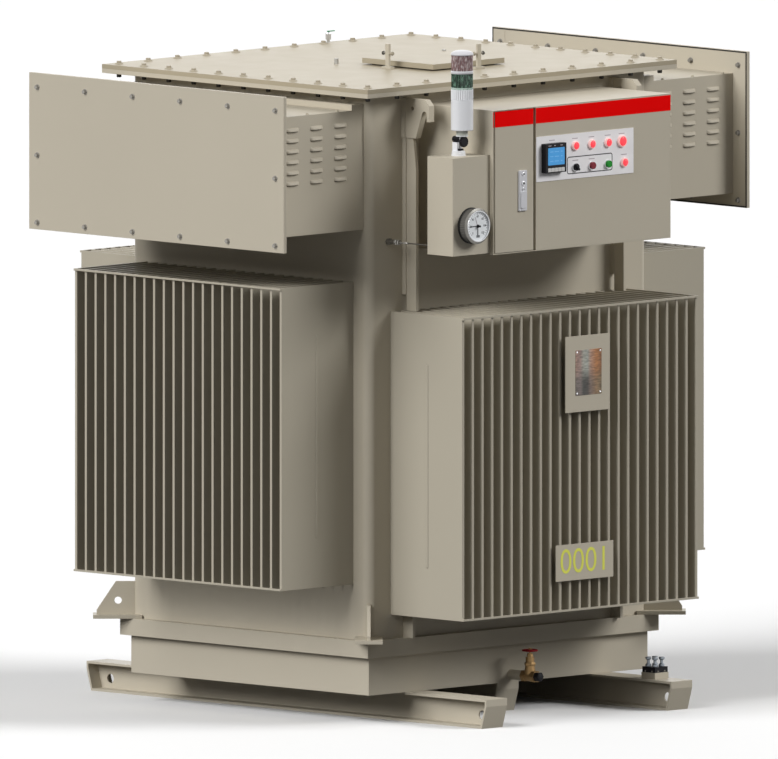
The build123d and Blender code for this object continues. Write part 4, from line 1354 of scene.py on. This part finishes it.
@dataclass
class Thermometer:
    """The dial thermometer on its box, with the capillary. Profiles are in millimetres."""

    face_size: float = 100 * MM
    figures: tuple[str, ...] = ("0", "20", "40", "60", "80", "100", "120")
    figure_reach: float = 33 * MM
    sweep: float = 270.0
    ticks_between: int = 4
    reading: float = 0.165
    highest: float = 0.42
    hub: Profile = ((6, 0), (6, 2), (3.6, 3), (3.6, 12), (0, 12.5))
    gland_nut: Profile = ((9, 0), (10.5, 1.5), (10.5, 9), (9, 10.5))
    gland_collar: Profile = ((9.5, 0), (9.5, 3), (8.5, 4))
    sleeve: Profile = ((3.6, 0), (3.6, 34), (2.6, 36))

    def __post_init__(self) -> None:
        """Read the dial's place and size from the frame."""
        low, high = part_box("thermometer_dial")
        self.middle = seat("thermometer_dial")
        self.radius = (high.x - low.x) / 2
        self.depth = high.y - low.y
        self.face_out = self.depth * 0.84

    def build(self) -> None:
        """Dress the box and build the dial."""
        dress(("thermometer_box",), PEBBLE_ENAMEL)
        dress(("capillary_tube",), DARK_ZINC)
        self.add_gland()
        self.add_case()
        self.add_scale()
        self.add_hands()

    def put(self, name: str, shell: Shell, finish: Finish, out: float = 0.0, replaces: Nodes = ()) -> None:
        """Place a piece on the dial at a height over the box."""
        place = (self.middle[0], self.middle[1] - out, self.middle[2])
        build_piece(name, shell.placed(Facing.FRONT, place), finish, replaces=replaces)

    def add_case(self) -> None:
        """The gasket, the knurled case, the steel ring, the bright rim and the white face."""
        radius, depth, inner = self.radius, self.depth, self.face_size / 2
        gasket = turned([(radius * 0.995, 0), (radius * 0.995, 5 * MM), (radius * 0.9, 7 * MM)], 64)
        self.put("dial_gasket", gasket, BLACK_RUBBER_AND_SHADE)
        back, front = 3 * MM, depth * 0.8
        profile = [(0.97, back), (1.0, back + 2 * MM), (1.0, front - 1.5 * MM), (0.98, front), (0.78, front)]
        drum = fluted(profile, radius * 0.945, 1.2 * MM, 60, 9)
        self.put("dial_case", Shell().grid(drum), CASE_ENAMEL, replaces=("thermometer_dial",))
        ring_shape = turned([
            (radius * 0.985, depth * 0.78), (radius * 0.985, depth * 0.86), (inner + 5 * MM, depth * 0.97),
            (inner + 3 * MM, depth * 0.97), (inner + 2 * MM, self.face_out),
        ], 64, capped=False)
        self.put("dial_ring", ring_shape, RING_STEEL)
        rim = turned([(inner + 3.6 * MM, depth * 0.95), (inner + 3.2 * MM, depth), (inner + 0.4 * MM, depth),
                      (inner, self.face_out)], 64, capped=False)
        self.put("dial_rim", rim, SATIN_CHROME)
        face = turned([(inner * 1.01, 0), (inner * 1.01, 1 * MM), (0, 1 * MM)], 64)
        self.put("dial_face", face, DIAL_WHITE, self.face_out - 0.5 * MM)

    def add_gland(self) -> None:
        """The bright union nut and the armoured sleeve where the capillary enters the tank."""
        low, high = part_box("capillary_tube")
        x, z = (low.x + high.x) / 2, (low.z + high.z) / 2
        for name, profile, sides, reach in (("gland_nut", self.gland_nut, 6, 34 * MM),
                                            ("gland_collar", self.gland_collar, 24, 52 * MM),
                                            ("capillary_sleeve", self.sleeve, 16, 60 * MM)):
            piece = turned(in_mm(profile), sides)
            build_piece(name, piece.placed(Facing.FRONT, (x, high.y - reach, z)), ZINC_PLATE)

    def angle_at(self, share: float) -> float:
        """The angle of a share of the scale, from the right, anticlockwise."""
        return math.radians(90 + self.sweep / 2 - self.sweep * share)

    def radial_bar(self, angle: float, near: float, far: float, width: float) -> Shell:
        """A thin bar along a radius.

        Args:
            angle: which way it points.
            near: its inner end, from the dial's middle.
            far: its outer end.
            width: its width.

        Returns:
            A closed shell.
        """
        bar = slab(far - near, width, 0.3 * MM, 0.3 * MM, 0.1 * MM, ((near + far) / 2, 0))
        return bar.spun(angle)

    def add_scale(self) -> None:
        """Ticks round the face, and plain numbers inside them."""
        ticks, numbers = Shell(), Shell()
        edge = self.face_size / 2 - 4 * MM
        steps = (len(self.figures) - 1) * self.ticks_between
        for step in range(steps + 1):
            length = 5 * MM if step % self.ticks_between else 9 * MM
            ticks.join(self.radial_bar(self.angle_at(step / steps), edge - length, edge, 1.2 * MM))
        self.put("dial_ticks", ticks, INK_BLACK, self.face_out + 0.5 * MM)
        for index, figure in enumerate(self.figures):
            angle = self.angle_at(index / (len(self.figures) - 1))
            place = (self.middle[0] + self.figure_reach * math.cos(angle),
                     self.middle[1] - self.face_out - 0.5 * MM,
                     self.middle[2] + self.figure_reach * math.sin(angle))
            numbers.join(lettering(figure, 7 * MM, Facing.FRONT, place))
        build_piece("dial_numbers", numbers, INK_BLACK)

    def add_hands(self) -> None:
        """A black hand, a grey drag hand, the hub and the slotted plate under it."""
        hand = self.radial_bar(self.angle_at(self.reading), -12 * MM, 38 * MM, 3 * MM)
        self.put("dial_hand", hand, INK_BLACK, self.face_out + 1.4 * MM)
        drag = self.radial_bar(self.angle_at(self.highest), -8 * MM, 34 * MM, 2 * MM)
        self.put("dial_drag_hand", drag, INK_GREY, self.face_out + 0.9 * MM)
        self.put("dial_hub", turned(in_mm(self.hub), 24), BLACK_MOULDING, self.face_out + 1 * MM)
        foot = slab(6 * MM, 26 * MM, 0.3 * MM, 0.5 * MM, 0.1 * MM, (0, -20 * MM))
        foot.join(slab(16 * MM, 8 * MM, 0.3 * MM, 0.5 * MM, 0.1 * MM, (2 * MM, -35 * MM)))
        self.put("dial_slot", foot, INK_SLATE, self.face_out + 0.6 * MM)


@dataclass
class SignalTower:
    """The folding signal tower: base, knob, drum, two lenses and cap. Profiles are in millimetres."""

    ribs: int = 32
    rib_depth: float = 2 * MM
    lens_wall: float = 3 * MM
    seam_rise: float = 3 * MM
    skirt_height: float = 7 * MM
    fluted_height: float = 34 * MM
    drum_rise: float = 88 * MM
    pivot_drop: float = 14 * MM
    post_rise: float = 15 * MM
    posts: tuple[tuple[float, float, float], ...] = ((23, 24, 38), (15, 30, 42))
    core_pitch: float = 3 * MM
    base_rings: Profile = (
        (24.5, 0), (24.5, 4), (22.9, 4.6), (22.9, 6.4), (24, 7), (24, 10.4), (22.2, 11), (22.2, 12.6),
        (22.9, 13.2), (22.9, 16), (21.4, 17),
    )
    pin: Profile = ((4, 0), (4, 9))
    barrel: Profile = ((9.6, 0), (10.4, 1), (10.4, 36), (9, 38))
    arm_disc: Profile = ((12.4, 0), (13, 0.5), (13, 3), (12.4, 3.4))
    arm_flange: Profile = ((21, 0), (21.5, 0.5), (21.5, 2.6), (20, 3.2))

    def __post_init__(self) -> None:
        """Read the tower's axis, radius, foot, pivot and knob from the frame."""
        low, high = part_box("tower_cap")
        self.radius = (high.x - low.x) / 2
        self.x, self.y = (low.x + high.x) / 2, (low.y + high.y) / 2
        foot_low, foot_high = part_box("tower_foot")
        self.foot, self.pivot = foot_low.z, foot_high.z - self.pivot_drop
        self.knob_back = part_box("tower_knob")[1].y

    def build(self) -> None:
        """Build the tower from its foot to its cap."""
        self.add_base()
        self.add_knob()
        self.add_hinge()
        self.add_arm()
        self.add_drum()
        self.add_lenses()

    def at(self, back: float, level: float) -> tuple[float, float, float]:
        """A place on the tower's middle, some way behind the knob's back."""
        return (self.x, self.knob_back + back, level)

    def put(self, name: str, shell: Shell, finish: Finish, replaces: Nodes = ()) -> None:
        """Move a piece onto the tower's axis and build it."""
        build_piece(name, shell.moved((self.x, self.y, 0)), finish, "tower", replaces)

    def ribbed(self, low: float, high: float, radius: float, wall: float = 0.0) -> Shell:
        """A fluted tube, its ends drawn in a little.

        Args:
            low: height of its foot.
            high: height of its top.
            radius: radius on the ribs.
            wall: wall thickness, or nothing for a solid end.

        Returns:
            A closed shell.
        """
        profile = [(0.97, low), (1.0, low + 1 * MM), (1.0, high - 1 * MM), (0.97, high)]
        rows = fluted(profile, radius, self.rib_depth, self.ribs)
        if not wall:
            return Shell().grid(rows)
        inner = radius - self.rib_depth - wall
        inside = np.stack([ring(inner, rows.shape[1], lift) for lift in (high, low)])
        return Shell().grid(np.concatenate([rows, inside, rows[:1]]), capped=False)

    def add_base(self) -> None:
        """The white ringed base with its saddle and the pivot's pin."""
        base = turned(in_mm(self.base_rings), 48).moved(self.at(20 * MM, self.foot))
        rise = self.pivot - 3.6 * MM - self.foot - self.post_rise
        level = self.foot + self.post_rise + rise / 2
        for width, depth, back in self.posts:
            post = slab(width * MM, rise, depth * MM, 2 * MM, 0.8 * MM)
            base.join(post.placed(Facing.FRONT, self.at(back * MM, level)))
        base.join(turned(in_mm(self.pin), 20).placed(Facing.FRONT, self.at(8 * MM, self.pivot)))
        build_piece("tower_base", base, WHITE_MOULDING, replaces=("tower_foot",))

    def add_knob(self) -> None:
        """The black clamp knob, with sixteen flutes."""
        low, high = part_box("tower_knob")
        radius, depth = (high.x - low.x) / 2 + 3 * MM, high.y - low.y
        profile = [(0.9, 0), (1.0, 2 * MM), (1.0, depth - 3 * MM), (0.86, depth), (0.05, depth)]
        knob = Shell().grid(fluted(profile, radius, 1.2 * MM, 16))
        build_piece("tower_clamp_knob", knob.placed(Facing.FRONT, seat("tower_knob")), BLACK_MOULDING,
                    replaces=("tower_knob",))

    def add_hinge(self) -> None:
        """The black hinge barrel and the stop bar under it."""
        barrel = turned(in_mm(self.barrel)).placed(Facing.BACK, self.at(4.6 * MM, self.pivot + 7 * MM))
        build_piece("tower_hinge_barrel", barrel, BLACK_MOULDING)
        bar = slab(19 * MM, 6 * MM, 10 * MM, 1 * MM, 0.5 * MM)
        place = self.at(14.4 * MM, self.foot + 21.5 * MM)
        build_piece("tower_stop_bar", bar.placed(Facing.FRONT, place), BLACK_MOULDING)

    def add_arm(self) -> None:
        """The white arm that carries the drum: a thin disc on the pivot, a strip and a flange over it."""
        arm = turned(in_mm(self.arm_disc)).placed(Facing.FRONT, self.at(4 * MM, self.pivot))
        strip = slab(22 * MM, 20 * MM, 3.4 * MM, 1 * MM, 0.5 * MM)
        arm.join(strip.placed(Facing.FRONT, self.at(4 * MM, self.pivot + 10 * MM)))
        arm.join(turned(in_mm(self.arm_flange), 40).moved((self.x, self.y, self.pivot + 18.2 * MM)))
        build_piece("tower_arm", arm, WHITE_MOULDING, "tower")

    def add_drum(self) -> None:
        """The white drum, fluted round its top, on its clear neck."""
        radius, foot, top = self.radius, self.foot + self.drum_rise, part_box("green_lens")[0].z
        plain = top - self.fluted_height
        drum = turned([(radius * 0.95, foot), (radius, foot + 2 * MM), (radius, plain)], 64)
        self.put("tower_drum", drum.join(self.ribbed(plain, top, radius)), WHITE_MOULDING, ("tower_body",))
        neck = turned([(19 * MM, self.pivot + 20.5 * MM), (20 * MM, self.pivot + 22 * MM),
                       (20 * MM, foot)], 40)
        self.put("tower_neck", neck, NECK_ACRYLIC)

    def add_lenses(self) -> None:
        """The green lens over its pale skirt, the red lens, the light unit in both, the seam and the cap."""
        radius, lens, wall = self.radius, self.radius - 1 * MM, self.lens_wall
        green_low, green_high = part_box("green_lens")
        red_low, red_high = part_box("red_lens")
        skirt, green_top = green_low.z + self.skirt_height, green_high.z + self.seam_rise
        red_foot, red_top = red_low.z + self.seam_rise, red_high.z + self.seam_rise
        green = self.ribbed(skirt, green_top, lens, wall)
        self.put("tower_green_lens", green, GREEN_ACRYLIC, ("green_lens",))
        self.put("tower_lens_skirt", self.ribbed(green_low.z, skirt, lens + 0.5 * MM, wall), MINT_ACRYLIC)
        self.put("tower_red_lens", self.ribbed(red_foot, red_top, lens, wall), RED_ACRYLIC, ("red_lens",))
        self.put("tower_core", self.core(green_low.z, red_top), LENS_CORE)
        seam = turned([(radius * 0.97, green_top), (radius, green_top + 2 * MM),
                       (radius, red_foot - 2 * MM), (radius * 0.97, red_foot)], 64)
        cap = turned(self.dome_profile(red_top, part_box("tower_cap")[1].z), 64)
        self.put("tower_dome", seam.join(cap), CAP_MOULDING, ("tower_cap",))

    def core(self, low: float, high: float) -> Shell:
        """The light unit inside the lenses: a stack of ridges, as prisms show through the ribs.

        Args:
            low: height of the lenses' foot.
            high: height of their top.

        Returns:
            A closed shell.
        """
        ridges = np.arange(low + 1 * MM, high - 1 * MM, self.core_pitch)
        return turned([(22 * MM if index % 2 else 27 * MM, level) for index, level in enumerate(ridges)])

    def dome_profile(self, low: float, high: float) -> Profile:
        """The cap's profile: a narrow rim, then a shallow dome.

        The dome rises as the square root of one less the share of the radius to the power 2.4.

        Args:
            low: height of the cap's foot.
            high: height of its top.

        Returns:
            Pairs of radius and height.
        """
        radius, rise = self.radius, high - low
        profile = [(radius * 0.98, low), (radius * 1.03, low + 1.5 * MM), (radius * 1.03, low + 3 * MM)]
        for share in (0.02, 0.06, 0.12, 0.2, 0.3, 0.42, 0.56, 0.72):
            lift = (rise - 4 * MM) * math.sqrt(1 - (1 - share) ** 2.4)
            profile.append((radius * (1 - share), low + 4 * MM + lift))
        return profile + [(radius * 0.12, high)]


@dataclass
class DrainValve:
    """The brass gate valve with its red handwheel and black plug. Profiles are in millimetres."""

    rim: float = 3.5 * MM
    rim_points: int = 48
    spokes: int = 4
    spoke: float = 2.6 * MM
    spoke_start: float = 7.5 * MM
    hub: Profile = ((4.4, -4), (8, -4), (8, 3), (7, 4), (4.4, 4), (4.4, -4))
    bell: Profile = ((18.5, 6), (18.8, 14), (18, 24), (16.5, 32), (16.5, 36))
    bonnet: Profile = ((18.5, 36), (19.5, 37.5), (19.5, 45), (18, 47))
    neck: Profile = ((15.5, 47), (13, 56), (10.5, 64))
    gland: Profile = ((10, 64), (11, 65), (11, 73), (9.6, 75))
    boss: Profile = ((12.5, 0), (12.5, 2), (6, 3.5))

    def build(self) -> None:
        """Dress the valve and build its casting and its wheel."""
        dress(("drain_valve",), CAST_BRASS)
        dress(("outlet_plug",), BLACK_MOULDING)
        self.add_casting()
        self.add_wheel()

    def add_casting(self) -> None:
        """The body's cast bell, the bonnet's hexagon, the gland nut round the stem and the plug's boss."""
        low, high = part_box("handwheel")
        pipe_low, pipe_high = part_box("drain_pipe")
        axis = np.array([(low.x + high.x) / 2, (low.y + high.y) / 2, (pipe_low.z + pipe_high.z) / 2])
        casting = Shell()
        for profile, sides in ((self.bell, 32), (self.bonnet, 6), (self.neck, 32), (self.gland, 6)):
            casting.join(turned(in_mm(profile), sides))
        build_piece("valve_casting", casting.moved(axis), CAST_BRASS, smooth=40)
        place = (axis[0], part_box("outlet_plug")[0].y, axis[2])
        build_piece("plug_boss", turned(in_mm(self.boss), 24).placed(Facing.FRONT, place), BLACK_MOULDING)

    def add_wheel(self) -> None:
        """The handwheel: a round rim carried round a circle, a hub and four spokes."""
        low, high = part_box("handwheel")
        radius = (high.x - low.x) / 2 - self.rim
        section = np.arange(12) * TURN / 12
        reach = radius + self.rim * np.cos(section)
        rise = self.rim * np.sin(section)
        rows = ring(1.0, self.rim_points)[:, None] * reach[None, :, None]
        rows[..., 2] = rise
        wheel = Shell().grid(np.concatenate([rows, rows[:1]]), capped=False)
        wheel.join(turned(in_mm(self.hub), 24, capped=False))
        outward = np.linspace(self.spoke_start, radius, 6)
        for spoke in range(self.spokes):
            heading = (spoke + 0.5) * TURN / self.spokes
            path = np.stack([outward * math.cos(heading), outward * math.sin(heading), np.zeros(6)], axis=-1)
            wheel.join(swept_tube(path, self.spoke, 10))
        build_piece("valve_handwheel", wheel.moved((low + high) / 2), HANDWHEEL_RED, "handwheel",
                    ("handwheel",))


@dataclass
class EarthingStuds:
    """Four spool-shaped studs on a black slab."""

    head: float = 10 * MM
    screw_spread: float = 16 * MM
    screw_level: float = 4 * MM

    def build(self) -> None:
        """Dress the slab and build the studs and the slab's screws."""
        dress(("stud_slab",), BLACK_MOULDING)
        self.add_spools()
        self.add_screws()

    def add_spools(self) -> None:
        """A spool at each corner: two thick heads and a thin waist, the same from both ends."""
        low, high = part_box("earth_studs")
        head, rise = self.head, high.z - low.z
        places = [(x, y, low.z)
                  for x in (low.x + head, high.x - head) for y in (low.y + head, high.y - head)]
        profile = [(9 * MM, 0), (head, 1 * MM), (head, 7 * MM), (9 * MM, 8 * MM), (5.5 * MM, 11 * MM),
                   (5 * MM, rise / 2), (5.5 * MM, rise - 11 * MM), (9 * MM, rise - 8 * MM),
                   (head, rise - 7 * MM), (head, rise - 1.5 * MM), (8.5 * MM, rise)]
        build_piece("stud_spools", turned(profile, 28).copies(np.array(places)), STUD_STEEL,
                    replaces=("earth_studs",))

    def add_screws(self) -> None:
        """Two domed screws on each side of the slab."""
        low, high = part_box("stud_slab")
        middle = (low + high) / 2
        screws = Shell()
        for across in (-self.screw_spread, self.screw_spread):
            x_here, y_here = middle.x + across, middle.y + across
            for facing, x, y in ((Facing.FRONT, x_here, low.y), (Facing.BACK, x_here, high.y),
                                 (Facing.LEFT, low.x, y_here), (Facing.RIGHT, high.x, y_here)):
                screws.join(dome_screw(7 * MM, 2.5 * MM).placed(facing, (x, y, low.z + self.screw_level)))
        build_piece("slab_screws", screws, DARK_ZINC)


@dataclass
class RadiatorPlates:
    """The rating bracket with its bare metal plate, and the number plate."""

    plate_width: float = 125 * MM
    plate_height: float = 155 * MM
    plate_thick: float = 1.2 * MM
    plate_drop: float = 49 * MM
    plate_shift: float = 4 * MM
    rivet_inset: float = 7 * MM
    figures: str = "0001"
    figure_height: float = 83 * MM

    def build(self) -> None:
        """Dress the brackets, rivet on the plate and paint the figures."""
        dress(("rating_bracket", "number_plate"), PEBBLE_ENAMEL)
        self.add_rating_plate()
        low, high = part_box("number_plate")
        place = ((low.x + high.x) / 2, low.y, (low.z + high.z) / 2)
        figures = lettering(self.figures, self.figure_height, Facing.FRONT, place, 0.6 * MM, 0.5 * MM)
        build_piece("number_figures", figures, YELLOW_INK)

    def add_rating_plate(self) -> None:
        """The bare metal plate and its four rivets."""
        low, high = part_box("rating_bracket")
        x, z = (low.x + high.x) / 2 + self.plate_shift, high.z - self.plate_drop - self.plate_height / 2
        plate = slab(self.plate_width, self.plate_height, self.plate_thick, 3 * MM, 0.4 * MM)
        # The plate's colour is a painted reflection in bands, darker towards its foot.
        build_piece("rating_plate", plate.placed(Facing.FRONT, (x, low.y, z)), PLATE_PAINTED_REFLECTION)
        rivets = Shell()
        across, upward = self.plate_width / 2 - self.rivet_inset, self.plate_height / 2 - self.rivet_inset
        for right in (-across, across):
            for up in (-upward, upward):
                place = (x + right, low.y - self.plate_thick, z + up)
                rivets.join(dome_screw(7 * MM, 2 * MM).placed(Facing.FRONT, place))
        build_piece("plate_rivets", rivets, SATIN_CHROME)


@dataclass(frozen=True)
class Sun:
    """A broad soft light: the way to it, its strength and its width in degrees."""

    name: str
    toward: tuple[float, float, float]
    strength: float
    width: float

    def add(self) -> None:
        """Add the light to the scene."""
        light = bpy.data.lights.new(self.name, "SUN")
        light.energy = self.strength
        light.angle = math.radians(self.width)
        carrier = bpy.data.objects.new(self.name, light)
        carrier.rotation_mode = "QUATERNION"
        carrier.rotation_quaternion = Vector(self.toward).to_track_quat("Z", "Y")
        bpy.context.scene.collection.objects.link(carrier)


@dataclass
class Studio:
    """Floor, light and the camera."""

    scale: float = 3.4 * MM
    image_width: int = 778
    azimuth: float = -45.0
    elevation: float = 5.653
    aim: tuple[float, float, float] = (-0.96 * MM, 0.96 * MM, 1.0937)
    distance: float = 9.0
    suns: tuple[Sun, ...] = (
        Sun("key", (-0.84, 0.09, 0.53), 3.0, 38.0),
        Sun("fill", (0.54, -0.69, 0.55), 2.25, 28.0),
        Sun("back", (0.55, 0.75, 0.12), 1.0, 60.0),
    )
    sky: tuple[float, float, float] = (0.05, 0.14, 0.17)
    floor_reach: float = 30.0
    floor_for_light: float = 0.1
    floor_seen: float = 0.92

    def build(self) -> None:
        """Make the floor, the lights and the camera."""
        self.add_floor()
        self.add_world()
        for sun in self.suns:
            sun.add()
        self.add_camera()
        bpy.context.scene.view_settings.view_transform = "Standard"

    def camera_ray(self, tree: bpy.types.NodeTree) -> bpy.types.NodeSocket:
        """Whether a ray comes from the camera, or by way of metal or glass.

        Args:
            tree: the material's or the world's node tree.

        Returns:
            The socket that is one for such a ray.
        """
        path = add_node(tree, "ShaderNodeLightPath")
        seen = path.outputs["Is Camera Ray"]
        for way in ("Is Glossy Ray", "Is Transmission Ray"):
            either = add_node(tree, "ShaderNodeMath", {0: seen, 1: path.outputs[way]}, operation="MAXIMUM")
            seen = either.outputs[0]
        return seen

    def add_floor(self) -> None:
        """A wide pale floor that keeps the shadow."""
        reach = self.floor_reach
        corners = [(-reach, -reach, 0), (reach, -reach, 0), (reach, reach, 0), (-reach, reach, 0)]
        mesh = bpy.data.meshes.new("floor")
        mesh.from_pydata(corners, [], [(0, 1, 2, 3)])
        floor = bpy.data.objects.new("floor", mesh)
        bpy.context.scene.collection.objects.link(floor)
        material, tree, shader = blank_material("pale_floor")
        mix = add_node(tree, "ShaderNodeMix", {
            "Factor": self.camera_ray(tree), MIX_FIRST: grey(self.floor_for_light),
            MIX_SECOND: grey(self.floor_seen),
        }, data_type="RGBA")
        tree.links.new(mix.outputs[MIX_OUT], shader.inputs["Base Color"])
        shader.inputs["Roughness"].default_value = 0.9
        shader.inputs["Specular IOR Level"].default_value = 0.0
        mesh.materials.append(material)

    def add_world(self) -> None:
        """A soft sky, brightest overhead and dark below, and white where it is seen."""
        world = bpy.data.worlds.new("studio")
        world.use_nodes = True
        bpy.context.scene.world = world
        tree = world.node_tree
        heading = add_node(tree, "ShaderNodeTexCoord").outputs["Generated"]
        rise = add_node(tree, "ShaderNodeSeparateXYZ", {0: heading}).outputs["Z"]
        share = add_node(tree, "ShaderNodeMapRange", {"Value": rise, "From Min": -1.0}).outputs["Result"]
        ramp = add_node(tree, "ShaderNodeValToRGB", {"Fac": share})
        stops = ramp.color_ramp.elements
        stops.new(0.5)
        for stop, level in zip(stops, self.sky):
            stop.color = grey(level)
        mix = add_node(tree, "ShaderNodeMix", {
            "Factor": self.camera_ray(tree), MIX_FIRST: ramp.outputs["Color"], MIX_SECOND: grey(1.0),
        }, data_type="RGBA")
        tree.links.new(mix.outputs[MIX_OUT], tree.nodes["Background"].inputs["Color"])

    def add_camera(self) -> None:
        """A parallel camera on the photograph's axis and scale."""
        camera = bpy.data.cameras.new("camera")
        camera.type = "ORTHO"
        camera.ortho_scale = self.image_width * self.scale
        camera.clip_end = 100.0
        carrier = bpy.data.objects.new("camera", camera)
        turn, rise = math.radians(self.azimuth), math.radians(self.elevation)
        back = Vector((math.sin(turn) * math.cos(rise), -math.cos(turn) * math.cos(rise), math.sin(rise)))
        carrier.location = Vector(self.aim) + back * self.distance
        carrier.rotation_mode = "QUATERNION"
        carrier.rotation_quaternion = back.to_track_quat("Z", "Y")
        bpy.context.scene.collection.objects.link(carrier)
        bpy.context.scene.camera = carrier


def main() -> None:
    """Build every sub-assembly."""
    logging.basicConfig(level=logging.INFO, format="%(message)s")
    Studio().build()
    for part in (Tank(), TerminalBoxes(), Radiators(), ControlCabinet(), InstrumentPanel(), Thermometer(),
                 SignalTower(), DrainValve(), EarthingStuds(), RadiatorPlates()):
        part.build()
        LOG.info("finished %s", type(part).__name__)


if __name__ == "__main__":
    main()
